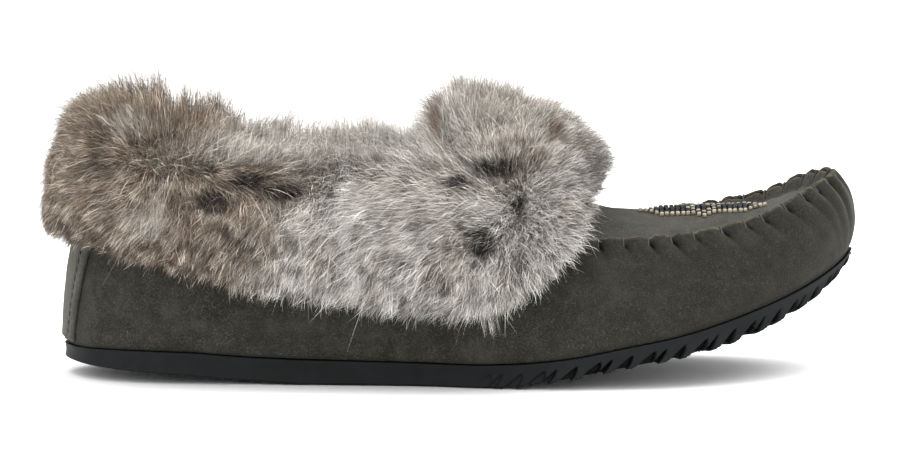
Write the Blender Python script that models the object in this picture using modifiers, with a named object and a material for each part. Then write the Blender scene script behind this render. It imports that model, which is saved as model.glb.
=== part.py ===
"""A fur-collared moccasin house slipper for the right foot: suede body, puckered plug, fur cuff, rubber sole.

Metres, +Z up, toe towards +X, outer (lateral) side towards -Y. Shapes are laid out in the sole's own frame,
with X = 0 half way along the sole, and centre_on_floor then puts the origin under the middle of the whole.
"""

import functools
import math

import bmesh
import bpy
import numpy as np
from mathutils import Vector

MM = 0.001
GAP = 0.3 * MM

# Driving dimensions.
SUEDE = 1.4 * MM
PLUG_EDGE_INSET = 2.8 * MM
BOTTOM_FILLER = 1.4 * MM
INSOLE_BOARD = 1.5 * MM
FOOTBED_FOAM = 4.0 * MM
FOOTBED_FLEECE = 3.0 * MM
LINING = 2.4 * MM
COUNTER = 1.2 * MM
LASTING_MARGIN = 13 * MM
CUFF_LEATHER = 1.1 * MM
BEAD_RADIUS = 0.72 * MM
BEAD_PITCH = 1.7 * MM
BEADS_ALONG = 24
BEADS_START_X = 59.2
BEADS_Y = -1.5
WING_HALF, MIDDLE_HALF = 3, 5
CROWN_POWER = 1.5
PUCKER_PITCH = 7.8 * MM
STITCH_RADIUS = 0.4 * MM

# Plan of the sole's edge, in mm, from the heel along the outer side to the toe and back along the inner side.
# Each row also holds the point of the body's top edge above it, and the wall's bulge low down and high up.
LAST = [
    ((-129.0, 2.0), (-119.8, 2.0, 77.0), (0.6, 1.2)),
    ((-125.0, -13.0), (-116.5, -10.5, 76.0), (0.8, 1.5)),
    ((-115.0, -24.0), (-108.5, -19.5, 74.0), (1.2, 2.2)),
    ((-95.0, -31.0), (-93.0, -26.5, 69.5), (2.0, 3.2)),
    ((-55.0, -32.5), (-55.0, -29.0, 63.0), (2.8, 4.2)),
    ((-15.0, -35.5), (-18.0, -30.0, 61.0), (3.0, 5.0)),
    ((10.0, -41.0), (8.0, -32.5, 53.5), (2.8, 5.5)),
    ((35.0, -45.0), (33.0, -33.0, 47.6), (2.5, 6.0)),
    ((70.0, -42.0), (66.0, -30.8, 47.8), (2.2, 6.0)),
    ((100.0, -28.0), (94.5, -26.2, 53.0), (1.8, 6.0)),
    ((120.0, -9.0), (114.8, -12.5, 61.9), (2.0, 6.7)),
    ((129.0, 8.0), (123.2, 4.5, 65.2), (2.2, 7.2)),
    ((122.0, 25.0), (116.3, 20.0, 63.5), (2.0, 6.7)),
    ((100.0, 37.0), (96.5, 29.8, 55.0), (1.8, 6.0)),
    ((60.0, 43.0), (60.0, 33.2, 49.0), (2.2, 6.0)),
    ((35.0, 41.0), (33.0, 34.0, 49.0), (2.5, 5.6)),
    ((10.0, 36.5), (8.0, 33.5, 54.5), (2.8, 5.0)),
    ((-30.0, 29.0), (-28.0, 30.0, 62.0), (3.2, 4.4)),
    ((-75.0, 29.0), (-73.0, 28.5, 65.5), (2.8, 3.4)),
    ((-105.0, 27.0), (-101.5, 24.0, 72.0), (1.6, 2.4)),
    ((-122.0, 17.0), (-114.5, 13.5, 75.5), (0.8, 1.5)),
]
PLUG_CORNER_X = -6.0
WALL_HEIGHTS = (0.0, 0.12, 0.27, 0.45, 0.63, 0.81, 1.0)

# Heights along the sole, in mm: the ground side, the feather line where suede meets rubber, the plug's crown,
# the drop from its turned-up edge to its face, and how far that edge sits under the body's edge.
SOLE_LOW = [
    (-129, 5.2), (-110, 4.0), (-88, 2.6), (-68, 1.2), (-50, 0), (15, 0), (25, 1.5), (40, 4), (50, 6),
    (62, 8), (72, 9.8), (81, 11.8), (95, 16), (109, 22), (118, 27), (124, 32), (129, 37.5),
]
FEATHER = [
    (-129, 9.8), (-106, 10.4), (-88, 10.1), (-68, 8.7), (-50, 8), (-22, 7.5), (3, 7.2), (15, 7.7), (34, 9.6),
    (53, 13.2), (72, 16.9), (87, 21), (93, 22.9), (107, 27.7), (118, 32.4), (126, 37.0), (129, 39.6),
]
PLUG_CROWN = [
    (-10, 80), (0, 77.5), (10, 72), (20, 66), (30, 60.5),
    (41, 55.8), (52, 53.2), (62, 52.8), (80, 53.4), (96, 54.2),
]
PLUG_DROP = [(-10, 0.3), (60, 0.6), (85, 2.0), (105, 3.2), (122, 3.6)]
PLUG_UNDER = [(-10, 0.4), (60, 0.4), (100, 0.9), (122, 1.0)]
SPINE_START, SPINE_END, SPINE_Y = 2.0, 97.0, 2.5

# The cuff's fold, middle and lower edge, in mm, in the order of LAST; then how far the fur rises above the
# fold, stands out beyond the cuff, and leans into the mouth.
CUFF = [
    ((-120.5, 2.0, 79.5), (-127.6, 2.0, 62.0), (-130.6, 2.0, 50.0), 12.5, 6.0, 5.6),
    ((-116.5, -11.5, 78.5), (-124.4, -15.0, 61.0), (-127.2, -17.0, 49.0), 14.0, 7.0, 5.6),
    ((-108.5, -20.5, 76.5), (-114.0, -27.0, 59.0), (-116.0, -30.4, 47.0), 16.0, 8.5, 5.6),
    ((-93.0, -27.0, 72.0), (-94.5, -34.6, 55.0), (-95.5, -37.6, 42.0), 17.0, 10.5, 5.6),
    ((-55.0, -29.5, 65.5), (-55.0, -38.0, 48.0), (-55.0, -41.0, 33.0), 14.0, 12.0, 5.6),
    ((-18.0, -30.5, 63.8), (-16.0, -40.5, 45.0), (-14.0, -44.8, 26.5), 13.0, 13.5, 6.0),
    ((-8.0, -27.5, 66.0), (5.0, -40.0, 51.5), (12.0, -49.0, 29.0), 16.0, 14.5, 7.5),
    ((-2.0, -19.0, 72.5), (14.5, -30.5, 65.0), (31.5, -44.6, 42.5), 17.5, 16.5, 8.0),
    ((1.5, -8.0, 78.6), (20.0, -13.0, 71.0), (40.0, -20.0, 61.0), 16.5, 18.0, 11.5),
    ((3.0, 2.0, 80.5), (21.0, 2.0, 71.5), (42.0, 2.0, 60.0), 15.5, 18.5, 14.0),
    ((1.5, 12.0, 78.6), (20.0, 17.0, 71.0), (40.0, 24.0, 61.0), 16.0, 18.0, 11.5),
    ((-2.0, 22.0, 72.5), (14.5, 34.0, 65.0), (30.5, 44.5, 44.5), 16.5, 16.0, 8.0),
    ((-8.0, 29.0, 66.5), (4.0, 41.0, 52.0), (10.0, 46.0, 30.0), 15.0, 13.5, 7.5),
    ((-26.0, 31.0, 65.6), (-26.0, 38.8, 46.0), (-27.0, 40.4, 28.0), 13.5, 12.5, 6.0),
    ((-60.0, 30.2, 67.2), (-60.0, 36.8, 48.0), (-60.0, 38.4, 33.0), 14.5, 12.0, 5.6),
    ((-93.0, 27.0, 72.0), (-94.5, 34.4, 55.0), (-95.5, 36.6, 42.0), 17.0, 10.5, 5.6),
    ((-108.5, 20.5, 76.5), (-113.6, 27.0, 59.0), (-115.4, 30.2, 47.0), 16.0, 8.5, 5.6),
    ((-116.5, 12.5, 78.5), (-123.6, 17.2, 61.0), (-126.2, 19.4, 49.0), 14.0, 7.0, 5.6),
]
# Places down the cuff, and the share of the fur's thickness that it has there.
FUR_PLACES = {0.22: 0.92, 0.45: 1.0, 0.7: 0.96, 0.92: 0.76}
# Fur pelts as stretches of the cuff, counted in its rows from the heel along the outer side.
PELTS = {
    "fur_heel": (-2.0, 2.0),
    "fur_lateral": (2.0, 5.6),
    "fur_front_lateral": (5.6, 9.0),
    "fur_front_medial": (9.0, 12.4),
    "fur_medial": (12.4, 16.0),
}


# ---------------------------------------------------------------- curves and profiles

def smooth(pairs, x):
    """Reads a profile of (position, values) rows at x: it never overshoots them, and is flat past them."""
    pairs = np.asarray(pairs, float)
    knots, values = pairs[:, 0], pairs[:, 1:]
    steps = np.diff(knots)[:, None]
    rates = np.diff(values, axis=0) / steps
    slopes = np.zeros_like(values)
    same_way = rates[:-1] * rates[1:] > 0
    before, after = steps[:-1] + 2 * steps[1:], 2 * steps[:-1] + steps[1:]
    with np.errstate(divide="ignore", invalid="ignore"):
        mean = (before + after) / (before / rates[:-1] + after / rates[1:])
    slopes[1:-1] = np.where(same_way, mean, 0)
    slopes[0], slopes[-1] = rates[0], rates[-1]
    x = np.clip(x, knots[0], knots[-1])
    k = int(np.clip(np.searchsorted(knots, x) - 1, 0, len(knots) - 2))
    step = knots[k + 1] - knots[k]
    t = (x - knots[k]) / step
    start = (1 + 2 * t) * (1 - t) ** 2 * values[k] + t * (1 - t) ** 2 * step * slopes[k]
    end = t * t * (3 - 2 * t) * values[k + 1] + t * t * (t - 1) * step * slopes[k + 1]
    found = start + end
    return float(found[0]) if len(found) == 1 else found


def around(rows, u):
    """A point at position u on the closed curve through the rows, u counted in rows (Catmull-Rom)."""
    rows = np.asarray(rows, float)
    k, t = int(math.floor(u)), u - math.floor(u)
    a, b, c, d = (rows[(k + i) % len(rows)] for i in (-1, 0, 1, 2))
    bend, twist = 2 * a - 5 * b + 4 * c - d, 3 * b - a - 3 * c + d
    return 0.5 * (2 * b + (c - a) * t + bend * t**2 + twist * t**3)


def unit(v):
    return v / np.linalg.norm(v)


def outward(rows, u):
    """The level direction that points out of the closed plan curve at u."""
    tangent = around(rows, u + 0.05)[:2] - around(rows, u - 0.05)[:2]
    return unit(np.array([tangent[1], -tangent[0], 0.0]))


def even_positions(rows, start, end, count):
    """Positions between start and end that are evenly spaced along the closed curve."""
    fine = np.linspace(start, end, 40 * count)
    points = np.array([around(rows, u) for u in fine])
    run = np.concatenate([[0], np.cumsum(np.linalg.norm(np.diff(points, axis=0), axis=1))])
    return np.interp(np.linspace(0, run[-1], count), run, fine)


OUTLINE = [row[0] for row in LAST]
TOP = [row[1] for row in LAST]
BULGE = [row[2] for row in LAST]
FOLD = [row[0] for row in CUFF]


def plan_stations(inset, count):
    """Stations along the sole as (x, outer y, inner y) in mm, closer together at the round ends."""
    fine = np.linspace(0, len(OUTLINE), 600, endpoint=False)
    edge = np.array([around(OUTLINE, u) - inset * outward(OUTLINE, u)[:2] for u in fine])
    heel, toe = int(np.argmin(edge[:, 0])), int(np.argmax(edge[:, 0]))
    edge, toe = np.roll(edge, -heel, axis=0), (toe - heel) % len(edge)
    outer, inner = edge[: toe + 1], np.vstack([edge[toe:], edge[:1]])[::-1]
    middle, half = (edge[0, 0] + edge[toe, 0]) / 2, (edge[toe, 0] - edge[0, 0]) / 2
    angles = np.radians(np.linspace(5, 175, count))
    return [
        (x, np.interp(x, outer[:, 0], outer[:, 1]), np.interp(x, inner[:, 0], inner[:, 1]))
        for x in middle - half * np.cos(angles)
    ]


@functools.cache
def wall_stations():
    """The positions round the slipper that the body, lining and counter share, so that their facets nest."""
    return even_positions(OUTLINE, 0, len(OUTLINE), 57)[:-1]


def wall_point(u, v):
    """A point on the body's outer face in mm: u runs round the slipper, v up from the feather line."""
    out, (low, high) = outward(OUTLINE, u), around(BULGE, u)
    x, y = around(OUTLINE, u) - 0.6 * out[:2]
    foot = np.array([x, y, smooth(FEATHER, x) + GAP / MM])
    top = around(TOP, u)
    rise = top[2] - foot[2]
    lower = foot + low * out + [0, 0, 0.35 * rise]
    upper = top + high * out - [0, 0, 0.30 * rise]
    return (1 - v) ** 3 * foot + 3 * (1 - v) ** 2 * v * lower + 3 * (1 - v) * v**2 * upper + v**3 * top


def wall_normal(u, v):
    along = wall_point(u + 0.03, v) - wall_point(u - 0.03, v)
    up = wall_point(u, min(v + 0.02, 1)) - wall_point(u, max(v - 0.02, 0))
    return unit(np.cross(along, up))


APEX = float(max(np.linspace(10, 12.5, 200), key=lambda u: around(TOP, u)[0]))


@functools.cache
def rim_side(inner):
    """Positions along one side of the body's top edge, from the back to the toe, and the x of each."""
    side = np.linspace(17, APEX, 300) if inner else np.linspace(5, APEX, 300)
    return side, np.array([around(TOP, u)[0] for u in side])


def rim_position(x, inner):
    """The position on the body's top edge that passes x, on the outer or the inner side of the forefoot."""
    side, places = rim_side(inner)
    return float(np.interp(x, places, side))


@functools.cache
def plug_positions(count):
    """Matching positions down both sides of the plug, closer together round the toe."""
    apex_x = around(TOP, APEX)[0]
    stations = PLUG_CORNER_X + (apex_x - PLUG_CORNER_X) * np.sin(np.linspace(0, math.pi / 2, count))
    outer = [rim_position(x, False) for x in stations[:-1]]
    inner = [rim_position(x, True) for x in stations[:-1]]
    return [*outer, APEX, *inner[::-1]]


def plug_point(u, inward):
    """A point on the plug's upper face in mm, from its edge (inward 0) to its spine (inward 1)."""
    rim = around(TOP, u)
    edge = rim - PLUG_EDGE_INSET / MM * outward(TOP, u)
    share = (min(rim[0], SPINE_END) - PLUG_CORNER_X) / (SPINE_END - PLUG_CORNER_X)
    spine = np.array([SPINE_START + share * (SPINE_END - SPINE_START), SPINE_Y])
    x, y = edge[:2] + inward * (spine - edge[:2])
    side = rim[2] - smooth(PLUG_UNDER, rim[0])
    depth = np.linalg.norm(np.array([x, y]) - edge[:2])
    turned = min(depth / 4.0, 1.0)
    face = side - smooth(PLUG_DROP, rim[0]) * turned * turned * (3 - 2 * turned)
    return np.array([x, y, face + (smooth(PLUG_CROWN, spine[0]) - face) * (1 - (1 - inward) ** CROWN_POWER)])


def cuff_point(w, s):
    """A point on the cuff's fur side in mm: w runs round it, s from the fold (0) to the lower edge (1)."""
    fold = around(FOLD, w)
    shoulder = fold + 3.4 * outward(FOLD, w) - [0, 0, 2.2]
    middle = around([row[1] for row in CUFF], w)
    edge = around([row[2] for row in CUFF], w)
    path = np.array([(0.0, *fold), (0.16, *shoulder), (0.58, *middle), (1.0, *edge)])
    return smooth(path, s)


def cuff_normal(w, s):
    along = cuff_point(w + 0.04, s) - cuff_point(w - 0.04, s)
    down = cuff_point(w, min(s + 0.03, 1)) - cuff_point(w, max(s - 0.03, 0))
    return unit(np.cross(down, along))


# ---------------------------------------------------------------- scene and materials

def clear_scene():
    for obj in list(bpy.data.objects):
        bpy.data.objects.remove(obj, do_unlink=True)


def new_collection(name):
    collection = bpy.data.collections.new(name)
    bpy.context.scene.collection.children.link(collection)
    return collection


def new_material(name, colour, roughness):
    material = bpy.data.materials.new(name)
    material.use_nodes = True
    shader = material.node_tree.nodes["Principled BSDF"]
    shader.inputs["Base Color"].default_value = (*colour, 1.0)
    shader.inputs["Roughness"].default_value = roughness
    shader.inputs["Metallic"].default_value = 0.0
    return material


def new_object(name, mesh, material):
    obj = bpy.data.objects.new(name, mesh)
    mesh.materials.append(material)
    PARTS.objects.link(obj)
    obj.parent = ROOT
    return obj


def finish_mesh(name, bm, material, outward_faces=True):
    if outward_faces:
        bmesh.ops.recalc_face_normals(bm, faces=bm.faces)
    mesh = bpy.data.meshes.new(name)
    bm.to_mesh(mesh)
    bm.free()
    mesh.shade_smooth()
    mesh.set_sharp_from_angle(angle=math.radians(40))
    return new_object(name, mesh, material)


# ---------------------------------------------------------------- builders

def add_vertices(bm, points):
    return [bm.verts.new(Vector(p) * MM) for p in points]


def loft(name, rings, material):
    """A solid skinned over rings of points, with a flat cap on each end."""
    bm = bmesh.new()
    loops = [add_vertices(bm, ring) for ring in rings]
    for a, b in zip(loops, loops[1:]):
        for i in range(len(a)):
            j = (i + 1) % len(a)
            bm.faces.new((a[i], a[j], b[j], b[i]))
    bm.faces.new(loops[0][::-1])
    bm.faces.new(loops[-1])
    return finish_mesh(name, bm, material)


def shell(name, rows, thickness, material, closed):
    """A wall: an open surface over rows of points, thickened to its inner side."""
    bm = bmesh.new()
    grid = [add_vertices(bm, row) for row in rows]
    for a, b in zip(grid, grid[1:]):
        count = len(a)
        for i in range(count if closed else count - 1):
            j = (i + 1) % count
            bm.faces.new((a[i], a[j], b[j], b[i]))
    bmesh.ops.remove_doubles(bm, verts=bm.verts, dist=0.02 * MM)
    obj = finish_mesh(name, bm, material, outward_faces=False)
    solid = obj.modifiers.new("thickness", "SOLIDIFY")
    solid.thickness = thickness
    solid.offset = -1
    return obj


def slab(name, inset, low, high, material, count=34):
    """A layer that follows the sole in plan and in profile; low and high give heights in mm at x."""
    rings = [
        [(x, outer, low(x)), (x, inner, low(x)), (x, inner, high(x)), (x, outer, high(x))]
        for x, outer, inner in plan_stations(inset, count)
    ]
    return loft(name, rings, material)


def strand(name, path, radius, material, sizes=None):
    """A thread along points in mm; sizes swells it to that multiple of its radius, as strung beads do."""
    curve = bpy.data.curves.new(name, "CURVE")
    curve.dimensions = "3D"
    curve.bevel_depth = radius
    curve.bevel_resolution = 0
    curve.use_fill_caps = True
    spline = curve.splines.new("POLY")
    spline.points.add(len(path) - 1)
    for i, (point, place) in enumerate(zip(spline.points, path)):
        point.co = (*(Vector(place) * MM), 1.0)
        point.radius = sizes[i] if sizes else 1.0
    return new_object(name, curve, material)


# ---------------------------------------------------------------- the sole and the footbed

def above_feather(offset):
    """The height in mm at x of a face that lies offset above the feather line, measured square to it."""
    def height(x):
        slope = (smooth(FEATHER, x + 0.5) - smooth(FEATHER, x - 0.5))
        return smooth(FEATHER, x) + offset / MM * math.hypot(1, slope)
    return height


def build_outsole(material):
    """The rubber sole: level under the waist, sprung at the toe, notched along the forefoot's edge."""
    chamfer = 0.9
    rings = []
    for (x, outer, inner), (_, low_outer, low_inner) in zip(plan_stations(0, 46), plan_stations(chamfer, 46)):
        low, high = smooth(SOLE_LOW, x), smooth(FEATHER, x)
        rings.append([
            (x, low_outer, low), (x, low_inner, low), (x, inner, low + chamfer),
            (x, inner, high), (x, outer, high), (x, outer, low + chamfer),
        ])
    sole = loft("outsole", rings, material)
    cutter = notch_cutter()
    cut = sole.modifiers.new("notches", "BOOLEAN")
    cut.operation = "DIFFERENCE"
    cut.object = cutter


def notch_cutter():
    """Wedges like fins along both sides of the forefoot: broad at the ground, pointed up and forwards."""
    bm = bmesh.new()
    depth, lean, foot = 2.2, 3.4, 3.6
    for first, last, count in ((6.3, 10.6, 16), (11.5, 15.3, 15)):
        for u in even_positions(OUTLINE, first, last, count):
            x, y = around(OUTLINE, u)
            out, low = outward(OUTLINE, u)[:2], smooth(SOLE_LOW, x)
            forward = np.array([-out[1], out[0]]) * (1 if out[1] < 0 else -1)
            height = 0.62 * (smooth(FEATHER, x) - low)
            base = low - 1.2
            tip = low + height
            profile = [(-foot / 2, base), (foot / 2, base), (lean + 0.5, tip), (lean - 0.3, tip)]
            loops = []
            for reach in (-depth, 3.0):
                places = [(*(np.array([x, y]) + reach * out + s * forward), z + 0.35 * s) for s, z in profile]
                loops.append(add_vertices(bm, places))
            for i in range(4):
                j = (i + 1) % 4
                bm.faces.new((loops[0][i], loops[0][j], loops[1][j], loops[1][i]))
            bm.faces.new(loops[0][::-1])
            bm.faces.new(loops[1])
    bmesh.ops.recalc_face_normals(bm, faces=bm.faces)
    mesh = bpy.data.meshes.new("notch_cutter")
    bm.to_mesh(mesh)
    bm.free()
    cutter = bpy.data.objects.new("notch_cutter", mesh)
    CUTTERS.objects.link(cutter)
    cutter.parent = ROOT
    cutter.hide_render = True
    cutter.display_type = "WIRE"
    return cutter


def build_footbed(filler, board, foam, fleece):
    """The layers between the rubber and the foot; the inner ones stop short of the lining."""
    low = GAP
    slab("bottom_filler", (LASTING_MARGIN + 2.2 * MM) / MM, above_feather(low),
         above_feather(low + BOTTOM_FILLER), filler, 26)
    low += SUEDE + GAP
    slab("insole_board", 4.6, above_feather(low), above_feather(low + INSOLE_BOARD), board)
    low += INSOLE_BOARD + GAP
    slab("footbed_foam", 7.4, above_feather(low), above_feather(low + FOOTBED_FOAM), foam)
    low += FOOTBED_FOAM + GAP
    slab("footbed_fleece", 7.8, above_feather(low), above_feather(low + FOOTBED_FLEECE), fleece)


# ---------------------------------------------------------------- the upper

def build_body(suede):
    """The suede moccasin body, up from its lasting margin under the foot to the plug seam and the topline."""
    rows = []
    for reach in (LASTING_MARGIN / MM, 4.0):
        row = []
        for u in wall_stations():
            x, y = around(OUTLINE, u) - reach * outward(OUTLINE, u)[:2]
            row.append((x, y, smooth(FEATHER, x) + GAP / MM))
        rows.append(row)
    for v in WALL_HEIGHTS:
        rows.append([wall_point(u, v) for u in wall_stations()])
    shell("moccasin_body", rows, SUEDE, suede, closed=True)


def build_heel_stay(suede, thread):
    """The strip over the back seam, wider at the top, with a row of stitches along each side."""
    offset = (0.3, 1.2)
    half_low, half_high = 0.95, 1.45
    heights = np.linspace(0.03, 0.60, 6)
    rows = []
    for v in heights:
        half = half_low + (half_high - half_low) * v / heights[-1]
        rows.append([wall_point(u, v) + sum(offset) * wall_normal(u, v) for u in np.linspace(-half, half, 9)])
    shell("heel_stay", rows, offset[1] * MM, suede, closed=False)
    lift = sum(offset) + 0.35 + STITCH_RADIUS / MM
    foot_v = 0.07
    down_one_side = [(-1, v) for v in np.linspace(0.56, foot_v, 12)]
    across = [(share, foot_v) for share in np.linspace(-0.86, 0.86, 9)]
    up_the_other = [(1, v) for v in np.linspace(foot_v, 0.56, 12)]
    path = []
    for share, v in down_one_side + across + up_the_other:
        u = share * (half_low + (half_high - half_low) * v / heights[-1] - 0.12)
        path.append(wall_point(u, v) + lift * wall_normal(u, v))
    strand("heel_stay_thread", path, STITCH_RADIUS, thread)


def build_counter(board):
    """The stiffener cupped round the heel between the suede and the lining."""
    inset = SUEDE / MM + 0.5
    stations = np.concatenate([wall_stations()[-9:] - len(OUTLINE), wall_stations()[:10]])
    rows = [[wall_point(u, v) - inset * wall_normal(u, v) for u in stations] for v in WALL_HEIGHTS[1:5]]
    shell("heel_counter", rows, COUNTER, board, closed=False)


def lining_inset(x):
    """How far the lining lies inside the suede's outer face, in mm: deeper at the heel, for the counter."""
    return smooth([(-100, 3.8), (-38, 3.8), (-10, 2.2), (130, 2.2)], x)


def build_lining(fleece):
    """The fleece lining of the body's walls."""
    rows = []
    for v in (*WALL_HEIGHTS[1:-1], 0.93):
        row = []
        for u in wall_stations():
            place = wall_point(u, v)
            row.append(place - lining_inset(place[0]) * wall_normal(u, v))
        rows.append(row)
    shell("fleece_lining", rows, LINING, fleece, closed=True)


def plug_rows(depth, first_share):
    """Rows of plug points from the edge to the spine, sunk below the upper face by depth in mm."""
    along = plug_positions(21)
    shares = [s for s in (0.0, 0.06, 0.13, 0.25, 0.45, 0.72, 1.0) if s >= first_share]
    rows = []
    for share in shares:
        row = []
        for u in along:
            place = plug_point(u, share)
            row.append(place - depth * np.array([0, 0, 1.0]))
        rows.append(row)
    return rows


def build_plug(suede, fleece):
    """The plug that closes the top of the forefoot, its edge turned up against the body, and its lining."""
    shell("vamp_plug", plug_rows(0.0, 0.0), SUEDE, suede, closed=False)
    shell("plug_lining", plug_rows(SUEDE / MM + 0.9, 0.10), LINING * 0.7, fleece, closed=False)


def build_plug_seam(thread):
    """The puckered seam's whip stitch: one thread that keeps crossing the ridge from the body to the plug."""
    first, last = rim_position(PLUG_CORNER_X + 9, False), rim_position(PLUG_CORNER_X + 9, True)
    fine = np.array([around(TOP, u) for u in np.linspace(first, last, 200)])
    length = np.linalg.norm(np.diff(fine, axis=0), axis=1).sum() * MM
    stops = even_positions(TOP, first, last, 2 * int(length / PUCKER_PITCH))
    path = []
    for i, u in enumerate(stops):
        out, rim = outward(TOP, u), around(TOP, u)
        face = wall_point(u, 0.93) + 1.2 * wall_normal(u, 0.93)
        over = rim - 0.3 * out + [0, 0, 1.4]
        plug = plug_point(u, 0.03) + np.array([0, 0, 0.9])
        path += [face, over] if i % 2 == 0 else [plug, over]
    strand("plug_seam_thread", path, STITCH_RADIUS, thread)


def bead_halves():
    """Half widths of the bead motif at each station, in beads: a long lozenge that swells in the middle."""
    middle = BEADS_ALONG // 2
    return [
        max(0, min(i - 1, BEADS_ALONG - i - 1, WING_HALF), MIDDLE_HALF - abs(i - middle))
        for i in range(BEADS_ALONG + 1)
    ]


def build_beads(cream, navy):
    """Seed beads on two strands that lie on the plug: a light outline, and dark rows inside it."""
    halves = bead_halves()
    near = [(i, -half) for i, half in enumerate(halves)]
    far = [(i, half) for i, half in enumerate(halves) if half > 0]
    inside = []
    for i in range(3, BEADS_ALONG - 2):
        half = min(halves[i - 1: i + 2]) - 1
        row = [(i, k) for k in range(-half, half + 1)]
        inside += row if i % 2 else row[::-1]
    for name, cells, material in (("beads_outline", near + far[::-1], cream), ("beads_inside", inside, navy)):
        places = []
        for i, j in cells:
            x, y = BEADS_START_X + i * BEAD_PITCH / MM, BEADS_Y + j * BEAD_PITCH / MM
            places.append(np.array([x, y, plug_height(x, y) + BEAD_RADIUS / MM + 0.35]))
        path, sizes = [], []
        for i, place in enumerate(places):
            ahead = unit(places[min(i + 1, len(places) - 1)] - places[max(i - 1, 0)])
            path += [place - 0.35 * ahead, place + 0.35 * ahead, place + 0.5 * BEAD_PITCH / MM * ahead]
            sizes += [1.0, 1.0, 0.4]
        strand(name, path, BEAD_RADIUS, material, sizes)


@functools.cache
def plug_samples():
    return np.array([plug_point(u, share) for u in plug_positions(60) for share in np.linspace(0, 1, 25)])


def plug_height(x, y):
    """The plug's height in mm at a place on it, from the nearest of many points."""
    off = np.hypot(plug_samples()[:, 0] - x, plug_samples()[:, 1] - y)
    nearest = np.argsort(off)[:4]
    return float(np.average(plug_samples()[nearest, 2], weights=1 / (off[nearest] + 0.01)))


# ---------------------------------------------------------------- the cuff and the fur

def pelt_stations(name):
    return even_positions(FOLD, *PELTS[name], 9)


def build_cuff(leather, thread):
    """The pelt's leather, folded over the topline and down the outside, and the stitches that hold it."""
    around_it = np.concatenate([pelt_stations(name)[:-1] for name in PELTS])
    rows = [
        [cuff_point(w, s) - 0.6 * cuff_normal(w, s) for w in around_it]
        for s in (1.0, 0.8, 0.58, 0.36, 0.16, 0.0)
    ]
    shell("cuff_leather", rows, CUFF_LEATHER, leather, closed=True)
    lift = 0.4 + STITCH_RADIUS / MM
    positions = even_positions(TOP, 16.6, 26.4, 44)
    path = [wall_point(u, 0.955) + lift * wall_normal(u, 0.955) for u in positions]
    strand("collar_thread", path, STITCH_RADIUS, thread)


@functools.cache
def fur_leans():
    """The way the fur stands out from the cuff at each of its rows, for places down it, taken broadly."""
    leans = {}
    for s in FUR_PLACES:
        rows = []
        for w in range(len(CUFF)):
            along = cuff_point(w + 0.6, s) - cuff_point(w - 0.6, s)
            down = cuff_point(w, min(s + 0.2, 1)) - cuff_point(w, max(s - 0.2, 0.1))
            rows.append(unit(np.cross(down, along)))
        leans[s] = rows
    return leans


def fur_ring(w):
    """The fur's section at w in mm: up the cuff, over the fold into the mouth, and down the outside."""
    fold, (rise, thick, lean) = around(FOLD, w), around([row[3:] for row in CUFF], w)
    out = outward(FOLD, w)
    up = np.array([0, 0, 1.0])
    backs = [cuff_point(w, s) + 0.5 * cuff_normal(w, s) for s in (1.0, 0.75, 0.5, 0.28, 0.1)]
    inside = [
        fold - 0.6 * out + 0.9 * up,
        fold - 0.6 * lean * out + 1.2 * up,
        fold - lean * out + 0.35 * rise * up,
        fold - 0.75 * lean * out + 0.75 * rise * up,
    ]
    top = [fold + rise * up, fold + 0.50 * thick * out + 0.86 * rise * up]
    leans = {s: unit(around(fur_leans()[s], w)) for s in FUR_PLACES}
    fronts = [cuff_point(w, s) + share * thick * leans[s] for s, share in FUR_PLACES.items()]
    edge = cuff_point(w, 1.0)
    down = unit(edge - cuff_point(w, 0.9))
    tip = [edge + 0.45 * thick * leans[max(FUR_PLACES)] + 3.0 * down]
    return backs + inside + top + fronts + tip


def build_fur(fur):
    """The fur as five pelts, each a plain solid of its own space."""
    for name in PELTS:
        rings = [np.array(fur_ring(w)) for w in pelt_stations(name)]
        flatten_end(rings[0], rings[1])
        flatten_end(rings[-1], rings[-2])
        loft(name, rings, fur)


def flatten_end(ring, inner_ring):
    """Makes an end ring flat, and draws it back a little from the pelt that it meets."""
    middle = ring.mean(axis=0)
    normal = np.linalg.svd(ring - middle)[2][2]
    ring -= np.outer((ring - middle) @ normal, normal)
    inward = normal * np.sign(normal @ (inner_ring.mean(axis=0) - middle))
    ring += 0.2 * inward


# ---------------------------------------------------------------- placing

def centre_on_floor():
    """Moves everything so that the origin is under the middle of the whole slipper, at floor height."""
    bpy.context.view_layer.update()
    graph = bpy.context.evaluated_depsgraph_get()
    corners = []
    for obj in PARTS.objects:
        if obj.type == "EMPTY":
            continue
        mesh = obj.evaluated_get(graph).to_mesh()
        places = np.empty(len(mesh.vertices) * 3)
        mesh.vertices.foreach_get("co", places)
        places = places.reshape(-1, 3)
        corners += [places.min(axis=0), places.max(axis=0)]
    low, high = np.min(corners, axis=0), np.max(corners, axis=0)
    ROOT.location = (-(low[0] + high[0]) / 2, -(low[1] + high[1]) / 2, -low[2])


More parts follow.
